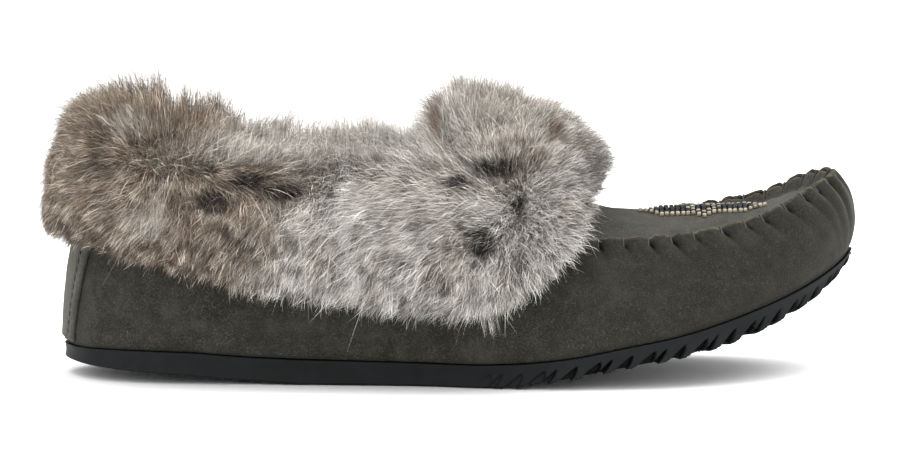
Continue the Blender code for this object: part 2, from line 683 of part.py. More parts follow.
def main():
    rubber = new_material("sole_rubber", (0.018, 0.021, 0.024), 0.55)
    suede = new_material("body_suede", (0.075, 0.072, 0.060), 0.92)
    plug_suede = new_material("plug_suede", (0.105, 0.098, 0.082), 0.92)
    fleece = new_material("lining_fleece", (0.52, 0.48, 0.42), 0.95)
    fur = new_material("rabbit_fur", (0.33, 0.30, 0.26), 0.85)
    leather = new_material("cuff_leather", (0.50, 0.44, 0.36), 0.8)
    board = new_material("insole_board", (0.36, 0.28, 0.19), 0.9)
    foam = new_material("footbed_foam", (0.62, 0.60, 0.55), 0.9)
    filler = new_material("bottom_filler", (0.20, 0.18, 0.15), 0.95)
    thread = new_material("seam_thread", (0.050, 0.047, 0.040), 0.8)
    cream = new_material("bead_cream", (0.62, 0.55, 0.42), 0.25)
    navy = new_material("bead_navy", (0.012, 0.018, 0.035), 0.2)

    build_outsole(rubber)
    build_footbed(filler, board, foam, fleece)
    build_body(suede)
    build_heel_stay(suede, thread)
    build_counter(board)
    build_lining(fleece)
    build_plug(plug_suede, fleece)
    build_plug_seam(thread)
    build_beads(cream, navy)
    build_cuff(leather, thread)
    build_fur(fur)
    centre_on_floor()


clear_scene()
PARTS = new_collection("fluffy_slipper")
CUTTERS = new_collection("cutters")
ROOT = bpy.data.objects.new("slipper_root", None)
PARTS.objects.link(ROOT)
main()
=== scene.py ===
"""The looks of the fur-collared moccasin slipper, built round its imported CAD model.

Shapes are laid out in mm in the sole's own frame, as in the CAD source: toe towards +X, outer side towards
-Y, X = 0 half way along the sole. new_piece moves them to the row frame, in metres.
"""

import math

import bmesh
import bpy
import numpy as np
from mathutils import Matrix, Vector


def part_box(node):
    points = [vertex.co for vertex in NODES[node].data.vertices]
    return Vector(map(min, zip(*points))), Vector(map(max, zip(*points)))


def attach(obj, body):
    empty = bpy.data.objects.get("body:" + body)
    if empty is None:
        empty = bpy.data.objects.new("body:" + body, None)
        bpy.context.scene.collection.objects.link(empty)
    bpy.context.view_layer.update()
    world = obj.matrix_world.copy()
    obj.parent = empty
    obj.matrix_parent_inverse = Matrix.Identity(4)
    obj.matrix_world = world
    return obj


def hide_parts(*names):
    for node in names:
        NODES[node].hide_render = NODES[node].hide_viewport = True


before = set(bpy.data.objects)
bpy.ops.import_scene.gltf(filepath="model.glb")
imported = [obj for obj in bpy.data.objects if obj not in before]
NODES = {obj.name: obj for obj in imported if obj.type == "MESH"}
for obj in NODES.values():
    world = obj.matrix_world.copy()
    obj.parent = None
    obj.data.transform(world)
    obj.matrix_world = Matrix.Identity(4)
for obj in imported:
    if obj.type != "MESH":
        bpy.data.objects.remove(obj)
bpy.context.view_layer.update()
MM = 0.001
UP = np.array([0.0, 0.0, 1.0])

# Driving dimensions, in mm.
GAP = 0.3
SUEDE = 1.4
PLUG_EDGE_INSET = 1.9
PUCKER_PITCH = 7.8
STITCH_HOLE_DEPTH = 2.5
CREASE_LIMIT = 1.45
THREAD = 0.34
BEAD_PITCH = 1.7
BEAD_RADIUS = 0.79
BEAD_SUNK = 0.22
BEADS_ALONG, BEADS_START = 24, 59.2
BEADS_Y, WING_HALF, MIDDLE_HALF = -1.5, 3, 5
CROWN_POWER = 1.5
FOOTBED_TOP, FOOTBED_INSET, FOOTBED_FACE = 9.7, 6.9, 2.9
LINING_THICKNESS, LINING_PILE = 2.0, 0.5
STAY_THICKNESS = 1.15
STAY_THREAD = 0.27
NOTCH_DEPTH = 2.8
TREAD_SUNK, HEEL_SUNK = 1.3, 0.8

# Plan of the sole's edge, from the heel along the outer side to the toe and back along the inner side. Each
# row also holds the point of the body's top edge above it, and how far the wall bulges low down and high up.
LAST = [
    ((-129.0, 2.0), (-119.8, 2.0, 77.0), (0.6, 1.2)),
    ((-125.0, -13.0), (-116.5, -10.5, 76.0), (0.8, 1.5)),
    ((-115.0, -24.0), (-108.5, -19.5, 74.0), (1.2, 2.2)),
    ((-95.0, -31.0), (-93.0, -26.5, 69.5), (2.0, 3.2)),
    ((-55.0, -32.5), (-55.0, -29.0, 63.0), (2.8, 4.2)),
    ((-15.0, -35.5), (-18.0, -30.0, 61.0), (3.0, 5.0)),
    ((10.0, -41.0), (8.0, -32.5, 53.5), (2.8, 5.5)),
    ((35.0, -45.0), (33.0, -33.0, 47.6), (2.5, 6.0)),
    ((70.0, -42.0), (66.0, -30.8, 47.8), (2.2, 6.0)),
    ((100.0, -28.0), (94.5, -26.2, 53.0), (1.8, 6.0)),
    ((120.0, -9.0), (114.8, -12.5, 61.9), (2.0, 6.7)),
    ((129.0, 8.0), (123.2, 4.5, 65.2), (2.2, 7.2)),
    ((122.0, 25.0), (116.3, 20.0, 63.5), (2.0, 6.7)),
    ((100.0, 37.0), (96.5, 29.8, 55.0), (1.8, 6.0)),
    ((60.0, 43.0), (60.0, 33.2, 49.0), (2.2, 6.0)),
    ((35.0, 41.0), (33.0, 34.0, 49.0), (2.5, 5.6)),
    ((10.0, 36.5), (8.0, 33.5, 54.5), (2.8, 5.0)),
    ((-30.0, 29.0), (-28.0, 30.0, 62.0), (3.2, 4.4)),
    ((-75.0, 29.0), (-73.0, 28.5, 65.5), (2.8, 3.4)),
    ((-105.0, 27.0), (-101.5, 24.0, 72.0), (1.6, 2.4)),
    ((-122.0, 17.0), (-114.5, 13.5, 75.5), (0.8, 1.5)),
]
OUTLINE = [row[0] for row in LAST]
TOP = [row[1] for row in LAST]
BULGE = [row[2] for row in LAST]

# Heights along the sole: the ground side, the feather line, the plug's crown, the drop from the plug's
# turned-up edge to its face, and how far that edge sits under the body's edge.
SOLE_LOW = [
    (-129, 5.2), (-110, 4.0), (-88, 2.6), (-68, 1.2), (-50, 0), (15, 0), (25, 1.5), (40, 4), (50, 6),
    (62, 8), (72, 9.8), (81, 11.8), (95, 16), (109, 22), (118, 27), (124, 32), (129, 37.5),
]
FEATHER = [
    (-129, 9.8), (-106, 10.4), (-88, 10.1), (-68, 8.7), (-50, 8), (-22, 7.5), (3, 7.2), (15, 7.7),
    (34, 9.6), (53, 13.2), (72, 16.9), (87, 21), (93, 22.9), (107, 27.7), (118, 32.4), (126, 37.0),
    (129, 39.6),
]
PLUG_CROWN = [
    (-10, 80), (0, 77.5), (10, 72), (20, 66), (30, 60.5), (41, 55.8), (52, 53.2), (62, 52.8), (80, 53.4),
    (96, 54.2),
]
PLUG_DROP = [(-10, 0.3), (60, 0.6), (85, 2.0), (105, 3.2), (122, 3.6)]
PLUG_UNDER = [(-10, 0.4), (60, 0.4), (100, 0.9), (122, 1.0)]
PLUG_CORNER_X, SPINE_START, SPINE_END, SPINE_Y = -6.0, 2.0, 97.0, 2.5

# The cuff's fold, middle and lower edge, in the same order as LAST; then how far the fur rises above the
# fold, stands out beyond the cuff, and leans into the mouth.
CUFF = [
    ((-120.5, 2.0, 79.5), (-127.6, 2.0, 62.0), (-130.6, 2.0, 50.0), 12.0, 6.0, 5.6),
    ((-116.5, -11.5, 78.5), (-124.4, -15.0, 61.0), (-127.2, -17.0, 49.0), 13.5, 7.0, 5.6),
    ((-108.5, -20.5, 76.5), (-114.0, -27.0, 59.0), (-116.0, -30.4, 47.0), 18.0, 8.5, 5.6),
    ((-93.0, -27.0, 72.0), (-94.5, -34.6, 55.0), (-95.5, -37.6, 42.0), 22.5, 10.5, 5.6),
    ((-55.0, -29.5, 65.5), (-55.0, -38.0, 48.0), (-55.0, -41.0, 33.0), 15.5, 12.0, 5.6),
    ((-18.0, -30.5, 63.8), (-16.0, -40.5, 45.0), (-14.0, -44.8, 26.5), 13.0, 13.5, 6.0),
    ((-8.0, -27.5, 66.0), (5.0, -40.0, 51.5), (12.0, -49.0, 29.0), 16.0, 14.5, 7.5),
    ((-2.0, -19.0, 72.5), (14.5, -30.5, 65.0), (31.5, -44.6, 42.5), 17.5, 16.5, 8.0),
    ((1.5, -8.0, 78.6), (20.0, -13.0, 71.0), (40.0, -20.0, 61.0), 16.5, 18.0, 11.5),
    ((3.0, 2.0, 80.5), (21.0, 2.0, 71.5), (42.0, 2.0, 60.0), 15.5, 18.5, 14.0),
    ((1.5, 12.0, 78.6), (20.0, 17.0, 71.0), (40.0, 24.0, 61.0), 16.0, 18.0, 11.5),
    ((-2.0, 22.0, 72.5), (14.5, 34.0, 65.0), (30.5, 44.5, 44.5), 16.5, 16.0, 8.0),
    ((-8.0, 29.0, 66.5), (4.0, 41.0, 52.0), (10.0, 46.0, 30.0), 15.0, 13.5, 7.5),
    ((-26.0, 31.0, 65.6), (-26.0, 38.8, 46.0), (-27.0, 40.4, 28.0), 14.5, 12.5, 6.0),
    ((-60.0, 30.2, 67.2), (-60.0, 36.8, 48.0), (-60.0, 38.4, 33.0), 16.5, 12.0, 5.6),
    ((-93.0, 27.0, 72.0), (-94.5, 34.4, 55.0), (-95.5, 36.6, 42.0), 22.5, 10.5, 5.6),
    ((-108.5, 20.5, 76.5), (-113.6, 27.0, 59.0), (-115.4, 30.2, 47.0), 18.0, 8.5, 5.6),
    ((-116.5, 12.5, 78.5), (-123.6, 17.2, 61.0), (-126.2, 19.4, 49.0), 13.5, 7.0, 5.6),
]
FOLD = [row[0] for row in CUFF]
PELTS = {
    "fur_heel": (-2.0, 2.0),
    "fur_lateral": (2.0, 5.6),
    "fur_front_lateral": (5.6, 9.0),
    "fur_front_medial": (9.0, 12.4),
    "fur_medial": (12.4, 16.0),
}
# Share of the fur's thickness at places down the cuff, counted from the fold (0) to the lower edge (1).
FUR_SHARE = [(0.1, 0.9), (0.22, 0.92), (0.45, 1.0), (0.7, 0.96), (0.92, 0.76), (1.0, 0.6)]

# The layers of each pelt's hair: how many clumps and hairs in each, the sections of a hair, its width (mm),
# the share of the fur's thickness it reaches through, how far it lies over (mm), how far the clump spreads
# (mm), how closely its hairs come together, how much the clumps turn their own way, the share of stray hairs,
# and how far they curve (mm).
COATS = {
    "undercoat": {"clumps": 1700, "hairs": 16, "sections": 5, "width": 0.18, "reach": 0.84, "lay": 9.5,
                  "spread": 0.85, "tidy": 0.40, "wild": 0.26, "strays": 0.08, "curl": 0.6},
    "guard": {"clumps": 1150, "hairs": 18, "sections": 6, "width": 0.16, "reach": 1.0, "lay": 13.0,
              "spread": 0.95, "tidy": 0.66, "wild": 0.24, "strays": 0.09, "curl": 0.8},
    "fluff": {"clumps": 1500, "hairs": 13, "sections": 6, "width": 0.10, "reach": 1.06, "lay": 12.0,
              "spread": 1.1, "tidy": 0.42, "wild": 0.32, "strays": 0.18, "curl": 0.9},
    "wisps": {"clumps": 2300, "hairs": 5, "sections": 7, "width": 0.20, "reach": 1.04, "lay": 13.0,
              "spread": 0.8, "tidy": 0.36, "wild": 0.30, "strays": 0.18, "curl": 1.0},
}
# How the fur is combed: at a place (x, z) of either side of the slipper, the way (dx, dz) in which it lies.
COMBED = [
    ((-122, 90), (-0.1, 0.05)), ((-108, 90), (-0.5, 0.35)), ((-95, 88), (-0.35, 0.5)),
    ((-84, 83), (0.35, 0.3)), ((-131, 77), (-0.35, 0.05)), ((-131, 61), (-0.35, -0.5)),
    ((-118, 82), (-0.6, 0.25)), ((-113, 72), (-0.8, 0.15)), ((-106, 64), (-0.7, -0.45)),
    ((-111, 53), (-0.7, -0.6)), ((-98, 51), (-0.6, -0.8)), ((-104, 78), (-0.45, 0.2)),
    ((-94, 77), (0.3, -0.7)), ((-98, 69), (-0.25, -0.8)), ((-90, 65), (0.0, -0.85)),
    ((-90, 57), (-0.35, -0.8)), ((-82, 76), (0.8, -0.5)), ((-68, 74), (0.8, -0.55)),
    ((-52, 72), (0.8, -0.45)), ((-80, 50), (-0.6, -0.75)), ((-68, 42), (-0.5, -0.85)),
    ((-60, 54), (-0.35, -0.9)), ((-42, 35), (-0.55, -0.8)), ((-40, 55), (-0.5, -0.6)),
    ((-20, 35), (-0.7, -0.7)), ((-13, 25), (-0.6, -0.8)), ((-35, 70), (-0.3, -0.6)),
    ((-20, 72), (-0.95, -0.2)), ((-3, 77), (-0.8, 0.1)), ((-13, 87), (-0.5, 0.5)),
    ((-12, 60), (-0.9, -0.3)), ((6, 94), (0.0, 0.35)), ((24, 90), (0.3, 0.3)), ((42, 77), (0.35, -0.4)),
    ((46, 62), (0.2, -0.8)), ((39, 50), (0.35, -0.8)), ((30, 38), (0.3, -0.95)), ((13, 28), (-0.05, -1.0)),
    ((-3, 28), (-0.6, -0.8)), ((6, 58), (-0.8, 0.05)), ((15, 59), (-0.7, 0.1)), ((12, 50), (-0.35, -0.6)),
    ((-8, 45), (-0.8, -0.5)), ((22, 49), (0.35, -0.7)), ((26, 68), (0.6, 0.2)), ((-1, 65), (-0.6, 0.1)),
    ((9, 74), (0.1, 0.4)), ((6, 42), (0.0, -0.8)), ((27, 59), (0.7, -0.35)), ((17, 67), (-0.35, 0.45)),
]
COMB_REACH = 9.0
# The fur is trimmed to this box, so that no stray hair reaches past the slipper's own size.
FUR_LIMITS = ([-141.0, -66.0, 4.0], [70.0, 66.0, 104.0])
# Hollows in the fur: centre (x, z), half sizes (x, z), and the share of the thickness that is missing there,
# or that is added where it is below 0.
HOLLOWS = [
    ((-72, 64), (9, 3.2), 0.72), ((-56, 61), (8, 3.0), 0.68), ((-129, 72), (6, 6.5), -0.42),
    ((-121, 81), (7, 5), 0.17), ((11, 71), (5, 2.6), 0.66), ((18, 60), (3.2, 3), 0.6),
    ((0, 66), (3.5, 2.5), 0.55), ((6, 48), (3.5, 3.5), 0.7),
]
# Markings in the coat: centre (x, z), half sizes (x, z), strength, and where they are: 0 on both sides of the
# slipper, 1 everywhere but on the outer side. The dark table also paints shade into the coat's hollows and
# clefts; the pale one also paints light where the coat lies in shade, on the far collar's inner side.
DARK_MARKS_AND_PAINTED_SHADE = [
    ((-78, 60), (6, 3.6), 1.0, 0), ((-67, 66.5), (6, 3.2), 1.0, 0), ((-57, 63), (8, 2.8), 1.0, 0),
    ((-71, 47), (20, 8), 0.30, 0), ((-116, 71), (9, 5), 0.44, 0), ((-87, 90), (4, 4), 0.40, 0),
    ((11.5, 71), (7.5, 3.2), 1.0, 0), ((18.5, 60), (3, 3.2), 0.85, 0), ((0, 67), (4.5, 3), 0.8, 0),
    ((7, 48), (4.2, 5), 1.0, 0), ((44, 71), (7, 10), 0.42, 0), ((-14, 84), (3, 7), 0.32, 0),
]
PALE_MARKS_AND_PAINTED_LIGHT = [
    ((-34, 77), (27, 14), 1.15, 1), ((-30, 60), (18, 8), 0.2, 0), ((10, 86), (18, 7), 0.38, 0),
    ((7, 59), (11, 4), 0.55, 0), ((-66, 77), (22, 7), 0.62, 0), ((-106, 84), (12, 6), 0.30, 0),
    ((-100, 53), (10, 6), 0.35, 0),
]
RUST_MARKS = [((-8, 85), (2.5, 6), 1.0, 0), ((31, 82), (3, 4), 0.8, 0)]

RAW_EDGE = (0.13, 0.105, 0.075)
# The darkest fur, which is also painted into the coat's hollows as shade.
DARK_FUR_AND_PAINTED_SHADE = (0.014, 0.012, 0.010)


# ---------------------------------------------------------------- curves and profiles

def smooth(pairs, x):
    """Reads a profile of (position, values) rows at x: no overshoot between rows, and flat beyond them."""
    pairs = np.asarray(pairs, float)
    knots, values = pairs[:, 0], pairs[:, 1:]
    steps = np.diff(knots)[:, None]
    rates = np.diff(values, axis=0) / steps
    slopes = np.zeros_like(values)
    same_way = rates[:-1] * rates[1:] > 0
    before, after = steps[:-1] + 2 * steps[1:], 2 * steps[:-1] + steps[1:]
    with np.errstate(divide="ignore", invalid="ignore"):
        mean = (before + after) / (before / rates[:-1] + after / rates[1:])
    slopes[1:-1] = np.where(same_way, mean, 0)
    slopes[0], slopes[-1] = rates[0], rates[-1]
    x = np.clip(np.asarray(x, float), knots[0], knots[-1])
    k = np.clip(np.searchsorted(knots, x) - 1, 0, len(knots) - 2)
    step = (knots[k + 1] - knots[k])[..., None]
    t = (x - knots[k])[..., None] / step
    found = (1 + 2 * t) * (1 - t) ** 2 * values[k] + t * (1 - t) ** 2 * step * slopes[k]
    found = found + t * t * (3 - 2 * t) * values[k + 1] + t * t * (t - 1) * step * slopes[k + 1]
    return found[..., 0] if found.shape[-1] == 1 else found


def around(rows, u):
    """Points at positions u on the closed curve through the rows, u counted in rows (Catmull-Rom)."""
    rows, u = np.asarray(rows, float), np.asarray(u, float)
    k = np.floor(u).astype(int)
    t = (u - k)[..., None]
    a, b, c, d = (rows[(k + i) % len(rows)] for i in (-1, 0, 1, 2))
    return 0.5 * (2 * b + (c - a) * t + (2 * a - 5 * b + 4 * c - d) * t**2 + (3 * b - a - 3 * c + d) * t**3)


def unit(v):
    return v / np.maximum(np.linalg.norm(v, axis=-1, keepdims=True), 1e-12)


def outward(rows, u):
    """The level directions that point out of the closed plan curve at u."""
    u = np.asarray(u, float)
    tangent = around(rows, u + 0.05)[..., :2] - around(rows, u - 0.05)[..., :2]
    return unit(np.stack([tangent[..., 1], -tangent[..., 0], np.zeros(u.shape)], axis=-1))


def stepped_positions(rows, start, end, step):
    """Positions from start towards end, step(x) mm apart along the closed curve where it passes x."""
    fine = np.linspace(start, end, 6000)
    points = around(rows, fine)
    pieces = np.linalg.norm(np.diff(points, axis=0), axis=1) / step(points[:-1, 0])
    run = np.concatenate([[0], np.cumsum(pieces)])
    return np.interp(np.linspace(0, run[-1], int(run[-1]) + 1), run, fine)


def run_along(points):
    """Distances along a path of points, counted from its first point."""
    return np.concatenate([[0], np.cumsum(np.linalg.norm(np.diff(points, axis=0), axis=1))])


def waves(points, wavelength, seed):
    """A smooth random field of about -1 to 1 at the points: a sum of waves in random directions."""
    rng = np.random.default_rng(seed)
    total = 0
    for _ in range(10):
        way = unit(rng.normal(size=3)) * 2 * math.pi / (wavelength * rng.uniform(0.7, 1.6))
        total = total + np.sin(points @ way + rng.uniform(0, 2 * math.pi))
    return total / 4.5


def ease(x):
    x = np.clip(x, 0, 1)
    return x * x * (3 - 2 * x)


# ---------------------------------------------------------------- placing and meshes

def sole_shift():
    """How far the row frame's origin lies from the sole frame's, in mm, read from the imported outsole."""
    low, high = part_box("outsole")
    edge = around(OUTLINE, np.linspace(0, len(OUTLINE), 600, endpoint=False))
    middle = (edge.min(axis=0) + edge.max(axis=0)) / 2
    return np.array([(low.x + high.x) / 2 / MM - middle[0], (low.y + high.y) / 2 / MM - middle[1], 0.0])


SHIFT = sole_shift()


def new_piece(name, points, faces, material, replaces=(), attributes=None):
    """A mesh piece from points in mm and arrays of quads or triangles, riding on the slipper's body."""
    points = (np.asarray(points, float).reshape(-1, 3) + SHIFT) * MM
    mesh = bpy.data.meshes.new(name)
    mesh.vertices.add(len(points))
    mesh.vertices.foreach_set("co", points.astype(np.float32).ravel())
    corners = np.concatenate([np.asarray(f).ravel() for f in faces]).astype(np.int32)
    sizes = np.concatenate([np.full(len(f), np.asarray(f).shape[1]) for f in faces])
    mesh.loops.add(len(corners))
    mesh.loops.foreach_set("vertex_index", corners)
    mesh.polygons.add(len(sizes))
    mesh.polygons.foreach_set("loop_start", np.concatenate([[0], np.cumsum(sizes)[:-1]]).astype(np.int32))
    mesh.update(calc_edges=True)
    for key, values in (attributes or {}).items():
        layer = mesh.attributes.new(key, "FLOAT", "POINT")
        layer.data.foreach_set("value", np.asarray(values, np.float32).ravel())
    mesh.shade_smooth()
    mesh.materials.append(material)
    obj = bpy.data.objects.new(name, mesh)
    bpy.context.scene.collection.objects.link(obj)
    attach(obj, "root")
    if replaces:
        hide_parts(*replaces)
    return obj


def grid_faces(rows, columns, closed_rows=False, closed_columns=False):
    """Quads over a grid of rows x columns points."""
    i = np.arange(rows if closed_rows else rows - 1)[:, None]
    j = np.arange(columns if closed_columns else columns - 1)[None, :]
    a, b = i * columns + j, i * columns + (j + 1) % columns
    c, d = ((i + 1) % rows) * columns + (j + 1) % columns, ((i + 1) % rows) * columns + j
    return np.stack([a, b, c, d], axis=-1).reshape(-1, 4)


def face_out(points, faces):
    """Turns the faces of a closed mesh so that they look outwards."""
    points = np.asarray(points, float).reshape(-1, 3)
    corners = points[faces]
    volume = np.einsum("ij,ij->i", corners[:, 0], np.cross(corners[:, 1], corners[:, 2])).sum()
    volume += np.einsum("ij,ij->i", corners[:, 0], np.cross(corners[:, 2], corners[:, 3])).sum()
    return faces if volume > 0 else faces[:, ::-1]


def skin_faces(grid, closed_rows=True):
    """The faces of a grid whose rows run round the slipper, looking outwards."""
    rows, columns = np.shape(grid)[:2]
    return face_out(grid, grid_faces(rows, columns, closed_rows=closed_rows, closed_columns=True))


def outer_normals(grid, u):
    """Unit normals of an open wall whose rows run round the slipper, looking outwards."""
    along = np.roll(grid, -1, axis=1) - np.roll(grid, 1, axis=1)
    across = np.roll(grid, -1, axis=0) - np.roll(grid, 1, axis=0)
    across[0], across[-1] = grid[1] - grid[0], grid[-1] - grid[-2]
    normals = unit(np.cross(along, across))
    middle = len(grid) // 2
    return -normals if (normals[middle] * outward(OUTLINE, u)).sum() < 0 else normals


def tube(path, radius, sides=8, taper=None):
    """A round tube along a path of points in mm, closed by its ends drawing in: its points and quads."""
    path = np.asarray(path, float)
    tangents = unit(np.gradient(path, axis=0))
    steep = abs(tangents[len(path) // 2] @ UP) > 0.9
    guide = np.array([1.0, 0.0, 0.0]) if steep else UP
    side = unit(np.cross(tangents, guide))
    other = np.cross(tangents, side)
    angle = np.linspace(0, 2 * math.pi, sides, endpoint=False)
    sizes = radius * (np.ones(len(path)) if taper is None else taper)
    ring = np.cos(angle)[None, :, None] * side[:, None] + np.sin(angle)[None, :, None] * other[:, None]
    points = path[:, None] + sizes[:, None, None] * ring
    return points.reshape(-1, 3), grid_faces(len(path), sides, closed_columns=True)[:, ::-1]


def joined(parts):
    """One list of points and quads out of several."""
    points, faces, count = [], [], 0
    for part_points, part_faces in parts:
        points.append(part_points)
        faces.append(part_faces + count)
        count += len(part_points)
    return np.vstack(points), np.vstack(faces)


def stitch(path, radius=THREAD):
    """A short stitch: a smooth tube through a few points, its ends drawn in."""
    path = np.asarray(path, float)
    run = run_along(path)
    fine = np.linspace(0, run[-1], 4 * len(path))
    curve = np.stack([smooth(np.stack([run, path[:, i]], axis=1), fine) for i in range(3)], axis=1)
    taper = np.sqrt(np.clip(1 - np.abs(np.linspace(-1, 1, len(fine))) ** 6, 0.02, 1))
    return tube(curve, radius, 8, taper)


# ---------------------------------------------------------------- materials

def node(tree, kind, inputs=None, **settings):
    made = tree.nodes.new(kind)
    for key, value in settings.items():
        setattr(made, key, value)
    for key, value in (inputs or {}).items():
        if isinstance(value, bpy.types.NodeSocket):
            tree.links.new(value, made.inputs[key])
        else:
            made.inputs[key].default_value = value
    return made


def new_material(name, roughness, **sockets):
    """A material, its node tree, its Principled shader (given the sockets' values) and object coordinates."""
    material = bpy.data.materials.new(name)
    material.use_nodes = True
    tree = material.node_tree
    shader = tree.nodes["Principled BSDF"]
    shader.inputs["Roughness"].default_value = roughness
    for key, value in sockets.items():
        shader.inputs[key.replace("_", " ")].default_value = value
    place = node(tree, "ShaderNodeTexCoord").outputs["Object"]
    return material, tree, shader, place


def noise(tree, place, size_mm, detail=2.0, roughness=0.5):
    """Noise with features of about size_mm."""
    made = node(tree, "ShaderNodeTexNoise", {"Vector": place, "Scale": 1 / (size_mm * MM), "Detail": detail,
                                              "Roughness": roughness})
    return made.outputs["Fac"]


def spread(tree, value, low, high, to_low=0.0, to_high=1.0):
    made = node(tree, "ShaderNodeMapRange", {"Value": value, "From Min": low, "From Max": high,
                                             "To Min": to_low, "To Max": to_high})
    return made.outputs["Result"]


def mix(tree, factor, a, b, blend="MIX"):
    made = tree.nodes.new("ShaderNodeMix")
    made.data_type, made.blend_type = "RGBA", blend
    for index, value in ((0, factor), (6, a), (7, b)):
        if isinstance(value, bpy.types.NodeSocket):
            tree.links.new(value, made.inputs[index])
        else:
            made.inputs[index].default_value = value if index == 0 else (*value, 1.0)
    return made.outputs[2]


def ramp(tree, factor, stops):
    made = node(tree, "ShaderNodeValToRGB", {"Fac": factor})
    elements = made.color_ramp.elements
    while len(elements) < len(stops):
        elements.new(0.5)
    for element, (position, colour) in zip(elements, stops):
        element.position, element.color = position, (*colour, 1.0)
    return made.outputs["Color"]


def attribute(tree, name):
    return node(tree, "ShaderNodeAttribute", attribute_name=name).outputs["Fac"]


def maths(tree, operation, a, b):
    return node(tree, "ShaderNodeMath", {0: a, 1: b}, operation=operation).outputs[0]


def paint(tree, shader, colour, roughness):
    tree.links.new(colour, shader.inputs["Base Color"])
    tree.links.new(roughness, shader.inputs["Roughness"])


def bump(tree, shader, height, strength, distance_mm):
    inputs = {"Height": height, "Strength": strength, "Distance": distance_mm * MM}
    tree.links.new(node(tree, "ShaderNodeBump", inputs).outputs["Normal"], shader.inputs["Normal"])


def suede_material(name, dark, middle, light, raw_edge):
    """Brushed suede: a nap of light and dark fibres, lighter and darker strokes, and a tan cut edge. Painted
    shade darkens the body towards the toe and down in its creases.
    """
    material, tree, shader, place = new_material(
        name, 0.95, Specular_IOR_Level=0.1, Sheen_Weight=0.12, Sheen_Roughness=0.45,
        Sheen_Tint=(0.75, 0.74, 0.68, 1.0))
    fibres = noise(tree, place, 0.5, 3.0, 0.75)
    broad = noise(tree, place, 14.0, 3.0, 0.55)
    patches = noise(tree, place, 2.6, 2.0, 0.6)
    colour = mix(tree, spread(tree, fibres, 0.38, 0.62), dark, middle)
    sparks = spread(tree, noise(tree, place, 0.42, 1.0, 0.5), 0.58, 0.72)
    colour = mix(tree, maths(tree, "MULTIPLY", sparks, 0.55), colour, light)
    colour = mix(tree, spread(tree, patches, 0.3, 0.75, 0.0, 0.45), colour, dark)
    colour = mix(tree, spread(tree, broad, 0.35, 0.7, 0.0, 0.35), colour, middle)
    strokes = noise(tree, place, 7.0, 4.0, 0.7)
    colour = mix(tree, spread(tree, strokes, 0.50, 0.75, 0.0, 0.12), colour, light)
    colour = mix(tree, spread(tree, strokes, 0.48, 0.25, 0.0, 0.55), colour, dark)
    # Painted shade: the body darkens towards its toe, which the fur does not overhang and which takes more
    # light.
    colour = mix(tree, maths(tree, "MULTIPLY", attribute(tree, "toe_painted_shade"), 0.42), colour, dark)
    # Painted shade down in the creases of the puckers, their stitch holes and the heel stay's grooves.
    colour = mix(tree, attribute(tree, "crease_shade"), colour, tuple(0.15 * c for c in dark))
    worn = spread(tree, noise(tree, place, 3.0, 3.0), 0.35, 0.7, 0.05, 0.8)
    colour = mix(tree, maths(tree, "MULTIPLY", attribute(tree, "cut"), worn), colour, raw_edge)
    paint(tree, shader, colour, spread(tree, fibres, 0.3, 0.7, 0.86, 1.0))
    bump(tree, shader, maths(tree, "ADD", fibres, maths(tree, "MULTIPLY", patches, 0.6)), 0.55, 0.22)
    return material


def rubber_material():
    """Matt moulded rubber with a faint grain and paler scuffs, and painted shade that blackens its notches.
    """
    material, tree, shader, place = new_material("sole_rubber", 0.6, Specular_IOR_Level=0.12)
    scuffs = noise(tree, place, 9.0, 4.0, 0.65)
    grain = noise(tree, place, 0.5, 2.0)
    colour = mix(tree, spread(tree, scuffs, 0.35, 0.7), (0.0050, 0.0057, 0.0060), (0.0102, 0.0115, 0.0123))
    # Painted shade down in the notches.
    colour = mix(tree, attribute(tree, "notch"), colour, (0.0008, 0.0009, 0.001))
    paint(tree, shader, colour, spread(tree, scuffs, 0.3, 0.7, 0.5, 0.7))
    bump(tree, shader, grain, 0.12, 0.15)
    return material


